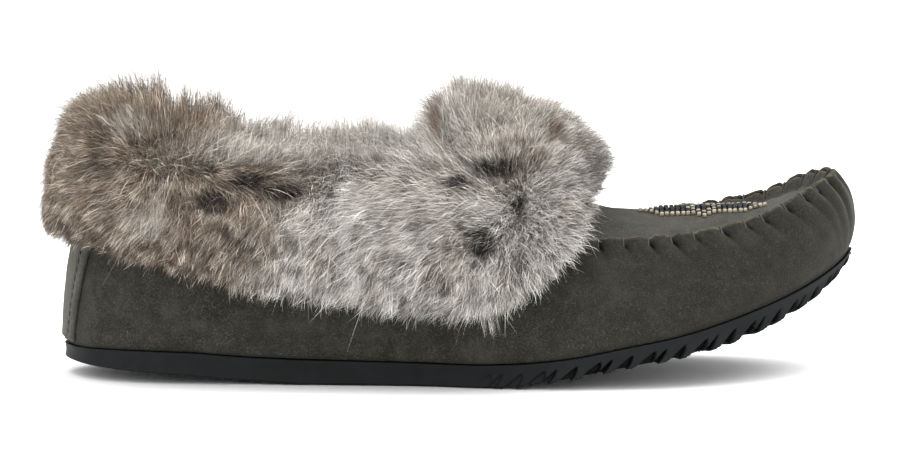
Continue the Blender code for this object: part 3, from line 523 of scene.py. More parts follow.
def fur_material(name, band, tip_share):
    """Rabbit hair, banded along its length: dark at the root, taupe, then a pale band; some tips are dark.
    The markings add painted shade in the coat's hollows and painted light where the coat lies in shade.
    """
    material, tree, shader, place = new_material(name, 0.6, Specular_IOR_Level=0.25)
    along, tone, warmth = (attribute(tree, key) for key in ("along", "tone", "warmth"))
    pale = ramp(tree, along, [
        (0.0, (0.06, 0.052, 0.045)), (0.35, (0.17, 0.152, 0.132)), (0.62, band), (0.85, (0.66, 0.64, 0.605)),
        (1.0, (0.74, 0.72, 0.69)),
    ])
    dusky = ramp(tree, along, [
        (0.0, (0.045, 0.038, 0.032)), (0.36, (0.15, 0.127, 0.106)), (0.62, (0.44, 0.385, 0.325)),
        (0.80, (0.12, 0.10, 0.084)), (1.0, (0.022, 0.019, 0.017)),
    ])
    # The markings: above 0 darker tufts and painted shade, below 0 paler tufts and painted light.
    marks_and_painted_shading = attribute(tree, "marks_and_painted_shading")
    locks = spread(tree, noise(tree, place, 4.5, 1.0), 0.38, 0.62, -0.22, 0.22)
    share = maths(tree, "ADD", tone, maths(tree, "MULTIPLY", warmth, 0.36))
    share = maths(tree, "ADD", share, maths(tree, "ADD", locks, maths(tree, "MULTIPLY", marks_and_painted_shading, 0.4)))
    colour = mix(tree, spread(tree, share, 1.0 - tip_share, 1.12 - tip_share), pale, dusky)
    brown = mix(tree, 1.0, colour, (0.86, 0.74, 0.62), "MULTIPLY")
    colour = mix(tree, maths(tree, "MULTIPLY", warmth, 0.75), colour, brown)
    # Painted shade in the hollows, with the darker tufts.
    colour = mix(tree, spread(tree, marks_and_painted_shading, 0.12, 0.62, 0.0, 0.95), colour, DARK_FUR_AND_PAINTED_SHADE)
    # Painted light where the coat lies in shade, with the paler tufts.
    colour = mix(tree, spread(tree, marks_and_painted_shading, -0.1, -0.9, 0.0, 0.85), colour, (0.72, 0.69, 0.64))
    rust = spread(tree, attribute(tree, "rust"), 0.1, 0.8, 0.0, 0.75)
    colour = mix(tree, rust, colour, (0.16, 0.095, 0.06))
    mottle = spread(tree, noise(tree, place, 6.0, 2.0), 0.3, 0.7, 0.68, 1.12)
    mottle = maths(tree, "MULTIPLY", mottle, spread(tree, attribute(tree, "own"), 0.0, 1.0, 0.34, 1.50))
    shade = node(tree, "ShaderNodeCombineColor", {0: mottle, 1: mottle, 2: mottle}).outputs[0]
    colour = mix(tree, 1.0, colour, shade, "MULTIPLY")
    # More painted light on the pale markings, laid over the mottling.
    colour = mix(tree, spread(tree, marks_and_painted_shading, -0.1, -0.9, 0.0, 0.6), colour, (0.80, 0.775, 0.73))
    paint(tree, shader, colour, spread(tree, tone, 0.0, 1.0, 0.5, 0.72))
    return material


def wool_material():
    """The wool under the hairs: matted, with painted shade in the hollows of the coat and painted light
    on its pale markings.
    """
    material, tree, shader, place = new_material("fur_wool", 0.95, Specular_IOR_Level=0.1)
    grain = noise(tree, place, 1.0, 4.0, 0.7)
    colour = mix(tree, spread(tree, grain, 0.3, 0.7), (0.055, 0.047, 0.039), (0.17, 0.148, 0.122))
    marks_and_painted_shading = attribute(tree, "marks_and_painted_shading")
    # Painted shade in the coat's hollows with the darker tufts, and painted light on the pale markings.
    colour = mix(tree, spread(tree, marks_and_painted_shading, 0.1, 0.7, 0.0, 0.95), colour, DARK_FUR_AND_PAINTED_SHADE)
    colour = mix(tree, spread(tree, marks_and_painted_shading, -0.1, -0.9, 0.0, 0.85), colour, (0.46, 0.43, 0.385))
    paint(tree, shader, colour, spread(tree, grain, 0.3, 0.7, 0.88, 1.0))
    bump(tree, shader, grain, 0.6, 0.5)
    return material


def soft_material(name, low, high, size_mm, roughness=0.95, bump_mm=0.4, sheen=0.2):
    """A soft or fibrous stuff in two shades with a bump of the same grain: fleece, foam, board, leather."""
    material, tree, shader, place = new_material(name, roughness, Specular_IOR_Level=0.2, Sheen_Weight=sheen)
    grain = noise(tree, place, size_mm, 4.0, 0.65)
    broad = noise(tree, place, size_mm * 9, 2.0)
    colour = mix(tree, spread(tree, grain, 0.3, 0.7), low, high)
    colour = mix(tree, spread(tree, broad, 0.35, 0.7, 0.0, 0.3), colour, low)
    paint(tree, shader, colour, spread(tree, grain, 0.3, 0.7, roughness - 0.08, roughness))
    bump(tree, shader, grain, 0.5, bump_mm)
    return material


def thread_material(name, dark, light):
    """Waxed thread: a fine twist shows as slanted light and dark bands."""
    material, tree, shader, place = new_material(name, 0.7, Specular_IOR_Level=0.3)
    inputs = {"Vector": place, "Scale": 1100.0, "Distortion": 2.0, "Detail": 1.0}
    twist = node(tree, "ShaderNodeTexWave", inputs, bands_direction="DIAGONAL").outputs["Fac"]
    paint(tree, shader, mix(tree, twist, dark, light), spread(tree, twist, 0.0, 1.0, 0.62, 0.78))
    bump(tree, shader, twist, 0.4, 0.08)
    return material


def bead_material(name, dark, light, roughness, gloss):
    """Glass beads, no two of quite the same shade."""
    material, tree, shader, place = new_material(name, roughness, Specular_IOR_Level=gloss)
    each = noise(tree, place, 2.4, 1.0)
    flecks = noise(tree, place, 0.4, 2.0)
    colour = mix(tree, spread(tree, each, 0.35, 0.65), dark, light)
    colour = mix(tree, spread(tree, flecks, 0.45, 0.8, 0.0, 0.35), colour, dark)
    paint(tree, shader, colour, spread(tree, each, 0.3, 0.7, roughness, roughness + 0.15))
    return material


# ---------------------------------------------------------------- the body's wall and its puckers

def wall_point(u, v):
    """Points on the body's outer face: u runs round the slipper, v from the feather line (0) to the top."""
    out, bulge = outward(OUTLINE, u), around(BULGE, u)
    plan = around(OUTLINE, u) - 0.6 * out[..., :2]
    foot = np.concatenate([plan, (smooth(FEATHER, plan[..., 0]) + GAP)[..., None]], axis=-1)
    top = around(TOP, u)
    rise = (top[..., 2] - foot[..., 2])[..., None]
    lower = foot + bulge[..., :1] * out + 0.35 * rise * UP
    upper = top + bulge[..., 1:] * out - 0.30 * rise * UP
    v = np.asarray(v, float)[..., None]
    return (1 - v) ** 3 * foot + 3 * (1 - v) ** 2 * v * lower + 3 * (1 - v) * v**2 * upper + v**3 * top


FINE_U = np.linspace(0, len(TOP), 8400)
FINE_TOP = around(TOP, FINE_U)
FINE_RUN = run_along(FINE_TOP)
APEX = FINE_U[np.argmax(FINE_TOP[:, 0])]
FINE_RUN -= np.interp(APEX, FINE_U, FINE_RUN)


def rim_run(u):
    """Distance along the body's top edge from the tip of the toe, below 0 on the outer side."""
    return np.interp(u, FINE_U, FINE_RUN)


def rim_position(x, inner):
    """The position on the top edge that passes x, on the outer or the inner side of the forefoot."""
    side = (FINE_U > APEX) & (FINE_U < 17) if inner else (FINE_U > 5) & (FINE_U <= APEX)
    places, positions = FINE_TOP[side, 0], FINE_U[side]
    order = np.argsort(places)
    return np.interp(x, places[order], positions[order])


def stitch_runs():
    """Where the puckered seam's stitches cross the top edge, as distances from the tip of the toe."""
    rng = np.random.default_rng(11)
    runs = []
    for inner in (False, True):
        end = abs(rim_run(rim_position(PLUG_CORNER_X + 4, inner)))
        side = np.arange(0.5 * PUCKER_PITCH, end, PUCKER_PITCH)
        side = side + rng.uniform(-0.9, 0.9, len(side))
        runs.append(side if inner else -side[::-1])
    return np.concatenate(runs)


STITCHES = stitch_runs()
STITCH_STRENGTH = np.random.default_rng(12).uniform(0.55, 1.25, len(STITCHES))


def toe_share(run):
    """1 round the toe, where the leather is gathered most, falling to 0 along the sides."""
    return ease((125 - np.abs(run)) / 80)


def pucker(run, depth):
    """How far a place is from its nearest stitch, in pitches, and that stitch's strength."""
    slant = 0.22 + 0.38 * toe_share(run)
    slant = slant * ease(np.abs(run) / 22)
    moved = run + np.sign(run) * slant * depth
    after = np.clip(np.searchsorted(STITCHES, moved), 1, len(STITCHES) - 1)
    nearer = np.where(np.abs(moved - STITCHES[after - 1]) < np.abs(moved - STITCHES[after]), after - 1, after)
    return (moved - STITCHES[nearer]) / PUCKER_PITCH, STITCH_STRENGTH[nearer]


def seam_share(x):
    """1 along the puckered seam, 0 behind its ends."""
    return ease((x - PLUG_CORNER_X - 2) / 10)


def wall_relief(run, depth, x):
    """How far the puckers push the wall in or out and raise its rim (mm), and their folds' painted shade."""
    off, strength = pucker(run, depth)
    toe = toe_share(run)
    seam = seam_share(x) * strength
    reach = 1.8 + 5.5 * toe
    above, beyond = 0.55 + 0.45 * depth / STITCH_HOLE_DEPTH, depth - STITCH_HOLE_DEPTH
    profile = np.where(beyond < 0, above, np.exp(-beyond / reach))
    slit = np.where(beyond < 0, above, np.exp(-beyond / (1.8 + 2.0 * toe)))
    # Between two stitches the leather swells softly; at a stitch it dips, steeper on the side to the toe.
    toeward = off * np.sign(-run)
    narrow = np.exp(-((off / 0.10) ** 2))
    valley = np.exp(-(((toeward - 0.03) / np.where(toeward > 0.03, 0.22, 0.30)) ** 2))
    amount = 0.75 + 1.05 * toe
    push = amount * (profile * (0.30 - 0.72 * valley) - 0.55 * slit * narrow)
    hole = np.exp(-((off / 0.055) ** 2)) * np.exp(-(((depth - STITCH_HOLE_DEPTH) / 0.9) ** 2))
    push = push - 0.9 * hole
    # No pucker's dent goes right through the leather.
    push = np.where(push < 0, CREASE_LIMIT * np.tanh(push / CREASE_LIMIT), push)
    raised = (0.15 + 0.32 * toe) * (0.4 - np.exp(-((off / 0.17) ** 2))) * np.exp(-depth / 3.0)
    # Painted shade in the slit at each stitch and in its hole.
    crease_shade = slit * narrow * 0.8 + hole
    return push * seam, raised * seam, np.clip(crease_shade * seam, 0, 1)


def wall_by_depth(u, depths):
    """Undisplaced points of the wall at distances down from its top edge; depths has a row for each u."""
    points = wall_point(*np.meshgrid(u, np.linspace(1, 0, 90), indexing="ij"))
    run = np.array([run_along(line) for line in points])
    found = np.empty((*depths.shape, 3))
    for i in range(len(u)):
        for k in range(3):
            found[i, :, k] = np.interp(depths[i], run[i], points[i, :, k])
    return found, run[:, -1]


# The rows of the body's outer face near its rim, as distances down from it.
RIM_DEPTHS = [0, 0.3, 0.6, 1.0, 1.4, 1.8, 2.2, 2.6, 3.0, 3.5, 4.0, 4.6, 5.3, 6.1, 7, 8, 9.2, 10.5, 12, 14, 16]


def body_rows():
    """The body's outer face with its relief: a grid of rows down from the rim, each round the slipper."""
    u = stepped_positions(OUTLINE, 0, len(OUTLINE), lambda x: 0.42 + 1.3 * ease((-2 - x) / 25))[:-1]
    _, length = wall_by_depth(u, np.zeros((len(u), 2)))
    near = np.broadcast_to(RIM_DEPTHS, (len(u), len(RIM_DEPTHS)))
    below = near[:, -1:] + (length[:, None] - near[:, -1:]) * np.linspace(0, 1, 26)[1:]
    depths = np.concatenate([near, below], axis=1)
    points, _ = wall_by_depth(u, depths)
    grid, depths = points.transpose(1, 0, 2), depths.T
    normals = outer_normals(grid, u)
    run = np.broadcast_to(rim_run(u), depths.shape)
    push, raised, crease_shade = wall_relief(run, depths, grid[0, :, 0][None, :])
    soft = waves(grid, 34, 3) * 0.45 + waves(grid, 15, 4) * 0.16
    soft = soft * ease(depths / 8) * ease((length - depths) / 10)
    low_roll = 0.55 * np.exp(-(((length - depths) / 2.2) ** 2))
    ragged = (0.16 * waves(grid, 2.4, 5) + 0.12 * waves(grid, 1.1, 6)) * np.exp(-depths / 1.5)
    grid = grid + (push + soft - low_roll)[..., None] * normals + (raised + ragged)[..., None] * UP
    return u, grid, normals, crease_shade, length


# The lasting margin under the foot, in towards the middle and back along its upper face: reach and lift.
MARGIN = [(1.7, 0.0), (3.2, -0.05), (8.0, -0.05), (13.0, -0.05), (13.0, SUEDE), (4.4, SUEDE)]
# The rows of the wall's inner face: first shares of the way down to the margin, then rows of the outer face.
INNER_SHARES = [0.85, 0.65, 0.45, 0.28]
INNER_ROWS = [12, 9, 7, 5, 2, 0]
# The body's cut edge, over from the inner face to the outer one: how far in it is and how high it is lifted.
CUT_EDGE = [(1.05, 0.22), (0.7, 0.34), (0.3, 0.22)]


def build_body(material):
    """The suede moccasin body: wall, lasting margin, inner face and puckered rim, as one closed skin."""
    u, outer, normals, crease_shade, length = body_rows()
    out, plan = outward(OUTLINE, u), around(OUTLINE, u)
    # dark holds each row's painted shade for the creases.
    rows, cut, dark = list(outer), [np.zeros(len(u))] * len(outer), list(crease_shade)

    def add(row, cut_share=0.0):
        rows.append(row)
        cut.append(np.full(len(u), cut_share))
        dark.append(np.zeros(len(u)))

    for reach, lift in MARGIN:
        edge = plan - reach * out[:, :2]
        add(np.column_stack([edge, smooth(FEATHER, edge[:, 0]) + GAP + lift]))
    for share in INNER_SHARES:
        row = int(share * (len(outer) - 1))
        smooth_outer = wall_by_depth(u, np.column_stack([length * share] * 2))[0][:, 0]
        add(smooth_outer - (SUEDE + 0.2) * normals[row])
    for row in INNER_ROWS:
        add(outer[row] - SUEDE * 0.95 * normals[8], 0.35 if row == 0 else 0.0)
    for inward, lift in CUT_EDGE:
        add(outer[0] - inward * out + lift * UP, 0.8)
    grid = np.array(rows)
    faces = skin_faces(grid)
    cut[0] = np.full(len(u), 0.45)
    cut[1] = np.full(len(u), 0.12)
    return new_piece("suede_body", grid, [faces], material, ["moccasin_body"], {
        "cut": np.array(cut),
        "crease_shade": np.array(dark),
        # Painted shade, from none at the heel to full towards the toe.
        "toe_painted_shade": ease((grid[..., 0] - 5) / 60),
    })


def rim_surface(run_value, depth):
    """The puckered wall's point and outward normal at distances from the toe's tip and down from the rim."""
    u = np.array([np.interp(run_value, FINE_RUN, FINE_U)])
    around_u = np.array([u[0] - 0.02, u[0], u[0] + 0.02])
    depths = np.array([[max(depth - 0.4, 0), depth, depth + 0.4]] * 3)
    points, _ = wall_by_depth(around_u, depths)
    normal = unit(np.cross(points[2, 1] - points[0, 1], points[1, 0] - points[1, 2]))
    if normal @ outward(OUTLINE, u)[0] < 0:
        normal = -normal
    push, raised, _ = wall_relief(rim_run(u), np.array([depth]), around(TOP, u)[:, 0])
    return points[1, 1] + push[0] * normal + raised[0] * UP, normal


# ---------------------------------------------------------------- the plug, its seam and the beads

def plug_point(u, inward):
    """Points on the plug's upper face, from its edge (inward 0) to its spine (inward 1)."""
    rim, out = around(TOP, u), outward(TOP, u)
    edge = rim - PLUG_EDGE_INSET * out
    share = (np.minimum(rim[..., 0], SPINE_END) - PLUG_CORNER_X) / (SPINE_END - PLUG_CORNER_X)
    spine_x = SPINE_START + share * (SPINE_END - SPINE_START)
    spine = np.stack([spine_x, np.full(share.shape, SPINE_Y)], axis=-1)
    plan = edge[..., :2] + inward[..., None] * (spine - edge[..., :2])
    side = rim[..., 2] - smooth(PLUG_UNDER, rim[..., 0])
    depth = np.linalg.norm(plan - edge[..., :2], axis=-1)
    face = side - smooth(PLUG_DROP, rim[..., 0]) * ease(depth / 3.2)
    height = face + (smooth(PLUG_CROWN, spine[..., 0]) - face) * (1 - (1 - inward) ** CROWN_POWER)
    off, strength = pucker(rim_run(u), 0 * depth)
    seam = seam_share(rim[..., 0]) * strength * np.exp(-depth / 2.6)
    toe = toe_share(rim_run(u))
    ruffle = seam * (0.35 + 0.7 * toe) * (0.5 - np.exp(-((off / 0.2) ** 2)))
    uneven = waves(np.stack([plan[..., 0], plan[..., 1], height], axis=-1), 11, 21)
    height = height + ruffle + 0.14 * uneven * ease(depth / 6)
    return np.stack([plan[..., 0], plan[..., 1], height], axis=-1)


def build_plug(material):
    """The plug that closes the top of the forefoot, its edge turned up and gathered against the body."""
    apex_x = FINE_TOP[:, 0].max()
    stations = PLUG_CORNER_X + (apex_x - PLUG_CORNER_X) * np.sin(np.linspace(0, math.pi / 2, 360))
    u = np.concatenate([rim_position(stations[:-1], False), [APEX], rim_position(stations[:-1], True)[::-1]])
    shares = np.concatenate([np.linspace(0, 0.16, 14), np.linspace(0.19, 1.0, 26)])
    grid = plug_point(*np.meshgrid(u, shares))
    faces = grid_faces(len(shares), len(u))
    cut = np.zeros((len(shares), len(u)))
    cut[0], cut[1] = 0.7, 0.25
    obj = new_piece("suede_plug", grid, [faces], material, ["vamp_plug"],
                    {"cut": cut, "crease_shade": np.zeros(cut.shape)})
    mesh = obj.data
    bm = bmesh.new()
    bm.from_mesh(mesh)
    bmesh.ops.remove_doubles(bm, verts=bm.verts, dist=0.03 * MM)
    bmesh.ops.dissolve_degenerate(bm, edges=bm.edges, dist=0.01 * MM)
    bmesh.ops.recalc_face_normals(bm, faces=bm.faces)
    if sum(f.normal.z for f in bm.faces) < 0:
        bmesh.ops.reverse_faces(bm, faces=bm.faces)
    bm.to_mesh(mesh)
    bm.free()
    mesh.shade_smooth()
    solid = obj.modifiers.new("thickness", "SOLIDIFY")
    solid.thickness = SUEDE * MM
    solid.offset = -1
    return obj


# A stitch of the puckered seam: up the wall (distance down from the rim, lift), and down on the plug (share
# of the way to its spine, lift).
STITCH_ON_WALL = [(2.9, -0.35), (2.2, 0.12), (1.2, 0.22), (0.3, 0.26)]
STITCH_ON_PLUG = [(0.02, 0.5), (0.055, 0.25), (0.09, -0.4)]


def build_seam_stitches(material):
    """The puckered seam: a stitch over the rim in each pucker, from its hole in the wall to the plug."""
    parts = []
    for run in STITCHES:
        path = []
        for depth, lift in STITCH_ON_WALL:
            point, normal = rim_surface(run, depth)
            path.append(point + lift * normal)
        rim, _ = rim_surface(run, 0.0)
        u = np.array([np.interp(run, FINE_RUN, FINE_U)])
        out = outward(TOP, u)[0]
        path.append(rim - 0.8 * out + 0.62 * UP)
        for share, lift in STITCH_ON_PLUG:
            path.append(plug_point(u, np.array([share]))[0] + lift * UP)
        parts.append(stitch(path))
    points, faces = joined(parts)
    return new_piece("seam_stitches", points, [faces], material, ["plug_seam_thread"])


def plug_place(x, y, samples):
    """The plug's point and normal under (x, y)."""
    off = np.hypot(samples[..., 0] - x, samples[..., 1] - y)
    i, j = np.unravel_index(np.argmin(off), off.shape)
    i, j = min(max(i, 1), off.shape[0] - 2), min(max(j, 1), off.shape[1] - 2)
    normal = unit(np.cross(samples[i + 1, j] - samples[i - 1, j], samples[i, j + 1] - samples[i, j - 1]))
    normal = normal * (1 if normal[2] > 0 else -1)
    nearest = samples[i, j]
    height = nearest[2] - (normal[0] * (x - nearest[0]) + normal[1] * (y - nearest[1])) / normal[2]
    return np.array([x, y, height]), normal


def bead_shape():
    """One bead about its own axis: a rounded barrel with a hole, as a grid of points."""
    profile = [
        (0.72, 0.42), (0.78, 0.60), (0.66, 0.80), (0.35, 0.90), (0.0, 0.93), (-0.35, 0.90), (-0.66, 0.80),
        (-0.78, 0.60), (-0.72, 0.42), (-0.3, 0.34), (0.3, 0.34),
    ]
    turn = np.linspace(0, 2 * math.pi, 14, endpoint=False)
    along, radius = (np.array(profile)[:, i] for i in (0, 1))
    points = np.stack([
        np.broadcast_to(along[:, None], (len(profile), len(turn))),
        radius[:, None] * np.cos(turn),
        radius[:, None] * np.sin(turn),
    ], axis=-1) * BEAD_RADIUS / radius.max()
    return points, grid_faces(len(profile), len(turn), closed_rows=True, closed_columns=True)


def bead_cells():
    """The cells of a long lozenge whose middle steps out, in bead pitches: its outline and its inside."""
    middle = BEADS_ALONG // 2
    outline, inside = [], []
    for i in range(BEADS_ALONG + 1):
        half = max(0, min(i - 1, BEADS_ALONG - i - 1, WING_HALF), MIDDLE_HALF - abs(i - middle))
        for k in range(-half, half + 1):
            (outline if abs(k) == half else inside).append((i - middle, k))
    return outline, inside


def build_beads(cream, navy):
    """Seed beads sewn to the plug, each tipped a little its own way."""
    rng = np.random.default_rng(31)
    u = np.linspace(rim_position(48, False), rim_position(48, True), 240)
    samples = plug_point(*np.meshgrid(u, np.linspace(0.05, 1.0, 60)))
    centre = BEADS_START + BEADS_ALONG * BEAD_PITCH / 2
    shape, shape_faces = bead_shape()
    outline, inside = bead_cells()
    pale_inside = [c for c in inside if 3.0 <= abs(c[1]) + abs(c[0]) < 3.9]
    dark_inside = [c for c in inside if c not in pale_inside]
    strands = (
        ("beads_cream", outline + pale_inside, cream, "bead_cream", "beads_outline"),
        ("beads_navy", dark_inside, navy, "bead_navy", "beads_inside"),
    )
    for name, cells, material, slot, node_name in strands:
        parts = []
        for i, j in cells:
            x = centre + i * BEAD_PITCH + rng.normal(0, 0.07)
            y = BEADS_Y + j * BEAD_PITCH + rng.normal(0, 0.07)
            place, normal = plug_place(x, y, samples)
            heading = rng.normal(0, 0.2)
            axis = np.array([math.cos(heading), math.sin(heading), 0.0])
            axis = unit(axis - (axis @ normal) * normal + rng.normal(0, 0.06) * normal)
            side = np.cross(normal, axis)
            scale = rng.uniform(0.93, 1.05)
            turned = shape[..., :1] * axis + shape[..., 1:2] * side + shape[..., 2:] * np.cross(axis, side)
            points = (place + (BEAD_RADIUS - BEAD_SUNK) * normal + scale * turned).reshape(-1, 3)
            parts.append((points, face_out(points, shape_faces)))
        points, faces = joined(parts)
        new_piece(name, points, [faces], material, [node_name])


# ---------------------------------------------------------------- the heel stay

# The stay's top and the step between its stitches, as shares of the wall's height; the places of the
# stitches, the ridge and the groove, as shares of its half width; and a stitch, as its rises and lifts.
STAY_TOP = 0.60
STAY_STEP = 0.042
STAY_STITCHED, STAY_RIDGE, STAY_GROOVE = 0.80, 0.93, 0.82
STAY_STITCH = [(0.0, 0.9), (0.007, 1.45), (0.018, 1.5), (0.025, 0.9)]


def stay_half(v):
    return 0.95 + 0.50 * v / STAY_TOP


def build_heel_stay(suede, thread):
    """The strip over the back seam: its folded sides stand up, with a row of stitches along each."""
    v = np.linspace(0.015, STAY_TOP, 90)
    shares = np.linspace(-1, 1, 61)
    u = stay_half(v)[:, None] * shares[None, :]
    base = wall_point(u, np.broadcast_to(v[:, None], u.shape))
    along, up = np.gradient(base, axis=1), np.gradient(base, axis=0)
    normals = unit(np.cross(along, up))
    if normals[40, 30, 0] > 0:
        normals = -normals
    side = np.abs(shares)
    ridge = 0.55 * np.exp(-(((side - STAY_RIDGE) / 0.07) ** 2))
    roll = ridge - 0.30 * np.exp(-(((side - STAY_GROOVE) / 0.045) ** 2))
    thickness = STAY_THICKNESS + roll[None, :] + 0.10 * waves(base, 5, 41) + 0.12 * waves(base, 14, 42)
    ends = ease((v - v[0]) / 0.02)[:, None]
    outer = base + (0.35 + thickness * np.maximum(ends, 0.3))[..., None] * normals
    inner = base + 0.15 * normals
    count = len(shares)
    ring = np.concatenate([outer, inner[:, ::-1]], axis=1)
    faces = grid_faces(len(v), 2 * count, closed_columns=True)
    caps = []
    for row in (0, len(v) - 1):
        start = row * 2 * count
        i = np.arange(count - 1)
        across = start + 2 * count - 1 - i
        cap = np.stack([start + i, start + i + 1, across - 1, across], axis=-1)
        caps.append(cap if row else cap[:, ::-1])
    faces = face_out(ring, np.vstack([faces, *caps]))
    # Painted shade in the groove beside each folded side.
    groove = 0.3 * np.exp(-(((side - STAY_GROOVE) / 0.04) ** 2))
    crease_shade = np.broadcast_to(np.concatenate([groove, np.zeros(count)]), (len(v), 2 * count))
    new_piece("heel_stay_strip", ring, [faces], suede, ["heel_stay"],
              {"crease_shade": crease_shade, "cut": np.zeros(crease_shade.shape)})
    parts = []
    for sign in (-1, 1):
        for v0 in np.arange(0.05, STAY_TOP - 0.03, STAY_STEP):
            i, j = np.argmin(abs(v - v0)), np.argmin(abs(shares - sign * STAY_STITCHED))
            path = []
            for rise, lift in STAY_STITCH:
                u1 = sign * STAY_STITCHED * stay_half(v0 + rise)
                place = wall_point(np.array([u1]), np.array([v0 + rise]))[0]
                path.append(place + lift * normals[i, j])
            parts.append(stitch(path, STAY_THREAD))
    points, faces = joined(parts)
    new_piece("heel_stay_stitches", points, [faces], thread, ["heel_stay_thread"])


# ---------------------------------------------------------------- the outsole

# The steps from one notch to the next and their widths, which repeat; where they start and end, as distances
# from the toe; the share of the sidewall they reach up, and how far they lean over towards the toe.
NOTCH_STEPS, NOTCH_WIDTHS = (7.4, 6.5, 3.8), (4.9, 4.1, 2.4)
NOTCH_START, NOTCH_END = 5.0, 155
NOTCH_HEIGHT, NOTCH_LEAN = 0.62, 4.4


def outline_run(u):
    """Distance along the sole's edge from its toe, below 0 on the outer side."""
    fine = np.linspace(0, len(OUTLINE), 8000)
    places = around(OUTLINE, fine)
    run = run_along(places)
    toe = fine[np.argmax(places[:, 0])]
    return np.interp(u, fine, run) - np.interp(toe, fine, run)


def notch_runs():
    """The notches along the forefoot's edge, in a repeating rhythm of wide, middling and narrow ones."""
    found, place = [], NOTCH_START
    while place < NOTCH_END:
        kind = len(found) % len(NOTCH_STEPS)
        found.append((place, NOTCH_WIDTHS[kind]))
        place += NOTCH_STEPS[kind]
    return found


def notch_depth(run, share):
    """How much of a notch there is at a distance from the toe and a share of the sidewall's height."""
    total = np.zeros(np.broadcast(run, share).shape)
    up = np.clip(share / NOTCH_HEIGHT, 0, 1)
    for place, width in notch_runs():
        for side in (-1, 1):
            centre = side * (place - NOTCH_LEAN * up**0.8)
            half = 0.5 * width * (1 - up**1.8) + 0.05
            inside = ease((half - np.abs(run - centre)) / 0.4 + 0.5)
            total = np.maximum(total, inside * ease((NOTCH_HEIGHT - share) / 0.10 + 0.2))
    return total * (0.3 + 0.7 * ease((132 - np.abs(run)) / 25)) * ease((148 - np.abs(run)) / 12)


def build_outsole(material):
    """The rubber sole: a sidewall with a rolled lip and slanted notches, a sunk field under the forefoot."""
    u = stepped_positions(OUTLINE, 0, len(OUTLINE), lambda x: 0.38 + 0.9 * ease((10 - x) / 30))[:-1]
    out, plan = outward(OUTLINE, u), around(OUTLINE, u)
    run = outline_run(u)
    rows, notch_shade = [], []
    for share in np.concatenate([[1.0, 0.985], np.linspace(0.95, 0.7, 5), np.linspace(0.66, 0.0, 30)]):
        inset = 0.35 if share == 1.0 else 0.0
        hollow = 0.35 * math.sin(math.pi * min(max(share, 0), 1))
        cut = NOTCH_DEPTH * notch_depth(run, np.array(share))
        corner = 0.8 * max(0.0, (0.10 - share) / 0.10) ** 2
        edge = plan - (inset + hollow + cut + corner)[:, None] * out[:, :2]
        low, high = smooth(SOLE_LOW, plan[:, 0]), smooth(FEATHER, plan[:, 0])
        z = low + share * (high - low) + TREAD_SUNK * notch_depth(run, np.array(0.0)) * (share < 0.06)
        rows.append(np.column_stack([edge, z]))
        # How much painted shade lies in the notches along this row.
        notch_shade.append(ease((notch_depth(run, np.array(share)) - 0.25) / 0.5))
    foot = notch_depth(run, np.array(0.0))
    spine_x = np.clip(plan[:, 0], -104, 102)
    spine = np.column_stack([spine_x, np.interp(spine_x, [-112, 0, 100], [2, -2, 5])])

    def under(edge, sunk):
        """The ground side at plan points, sunk by so much, and sunk a little at the very back of the heel."""
        heel = HEEL_SUNK * (1 - ease((edge[:, 0] + 112) / 2.0))
        return np.column_stack([edge, smooth(SOLE_LOW, edge[:, 0]) + sunk + heel])

    for reach in (2.2, 4.0, 6.5, 9.5, 12.0):
        rows.append(under(plan - reach * out[:, :2], TREAD_SUNK * foot))
    ring = plan - 12.6 * out[:, :2]
    for share in (0.0, 0.2, 0.5, 0.8, 1.0):
        edge = ring + share * (spine - ring)
        rows.append(under(edge, TREAD_SUNK * ease((edge[:, 0] - 19) / 2)))
    for share in (1.0, 0.5, 0.05):
        edge = plan + share * (spine - plan)
        rows.append(np.column_stack([edge, smooth(FEATHER, edge[:, 0]) - 0.02]))
    grid = np.array(rows)
    notch_shade += [np.zeros(len(u))] * (len(rows) - len(notch_shade))
    return new_piece("rubber_sole", grid, [skin_faces(grid)], material, ["outsole"],
                     {"notch": np.array(notch_shade)})


# ---------------------------------------------------------------- the lining and the footbed

# How far inside the body's outer face the lining starts, along the slipper.
LINING_INSET = [(-100, 3.8), (-38, 3.8), (-10, 2.2), (130, 2.2)]


def build_lining(material):
    """The fleece lining of the walls, its inner face thick with pile."""
    u = stepped_positions(OUTLINE, 0, len(OUTLINE), lambda x: np.full(x.shape, 1.4))[:-1]
    base = wall_point(*np.meshgrid(u, np.linspace(0.13, 0.93, 44)))
    normals = outer_normals(base, u)
    inset = smooth(LINING_INSET, base[..., 0])
    pile = np.abs(waves(base, 3.2, 51)) + 0.5 * waves(base, 7, 52)
    inner = base - (inset + LINING_THICKNESS + LINING_PILE * pile)[..., None] * normals
    outer = base - (inset - 0.05)[..., None] * normals
    grid = np.concatenate([inner, outer[::-1]])
    new_piece("lining_pile", grid, [skin_faces(grid)], material, ["fleece_lining"])


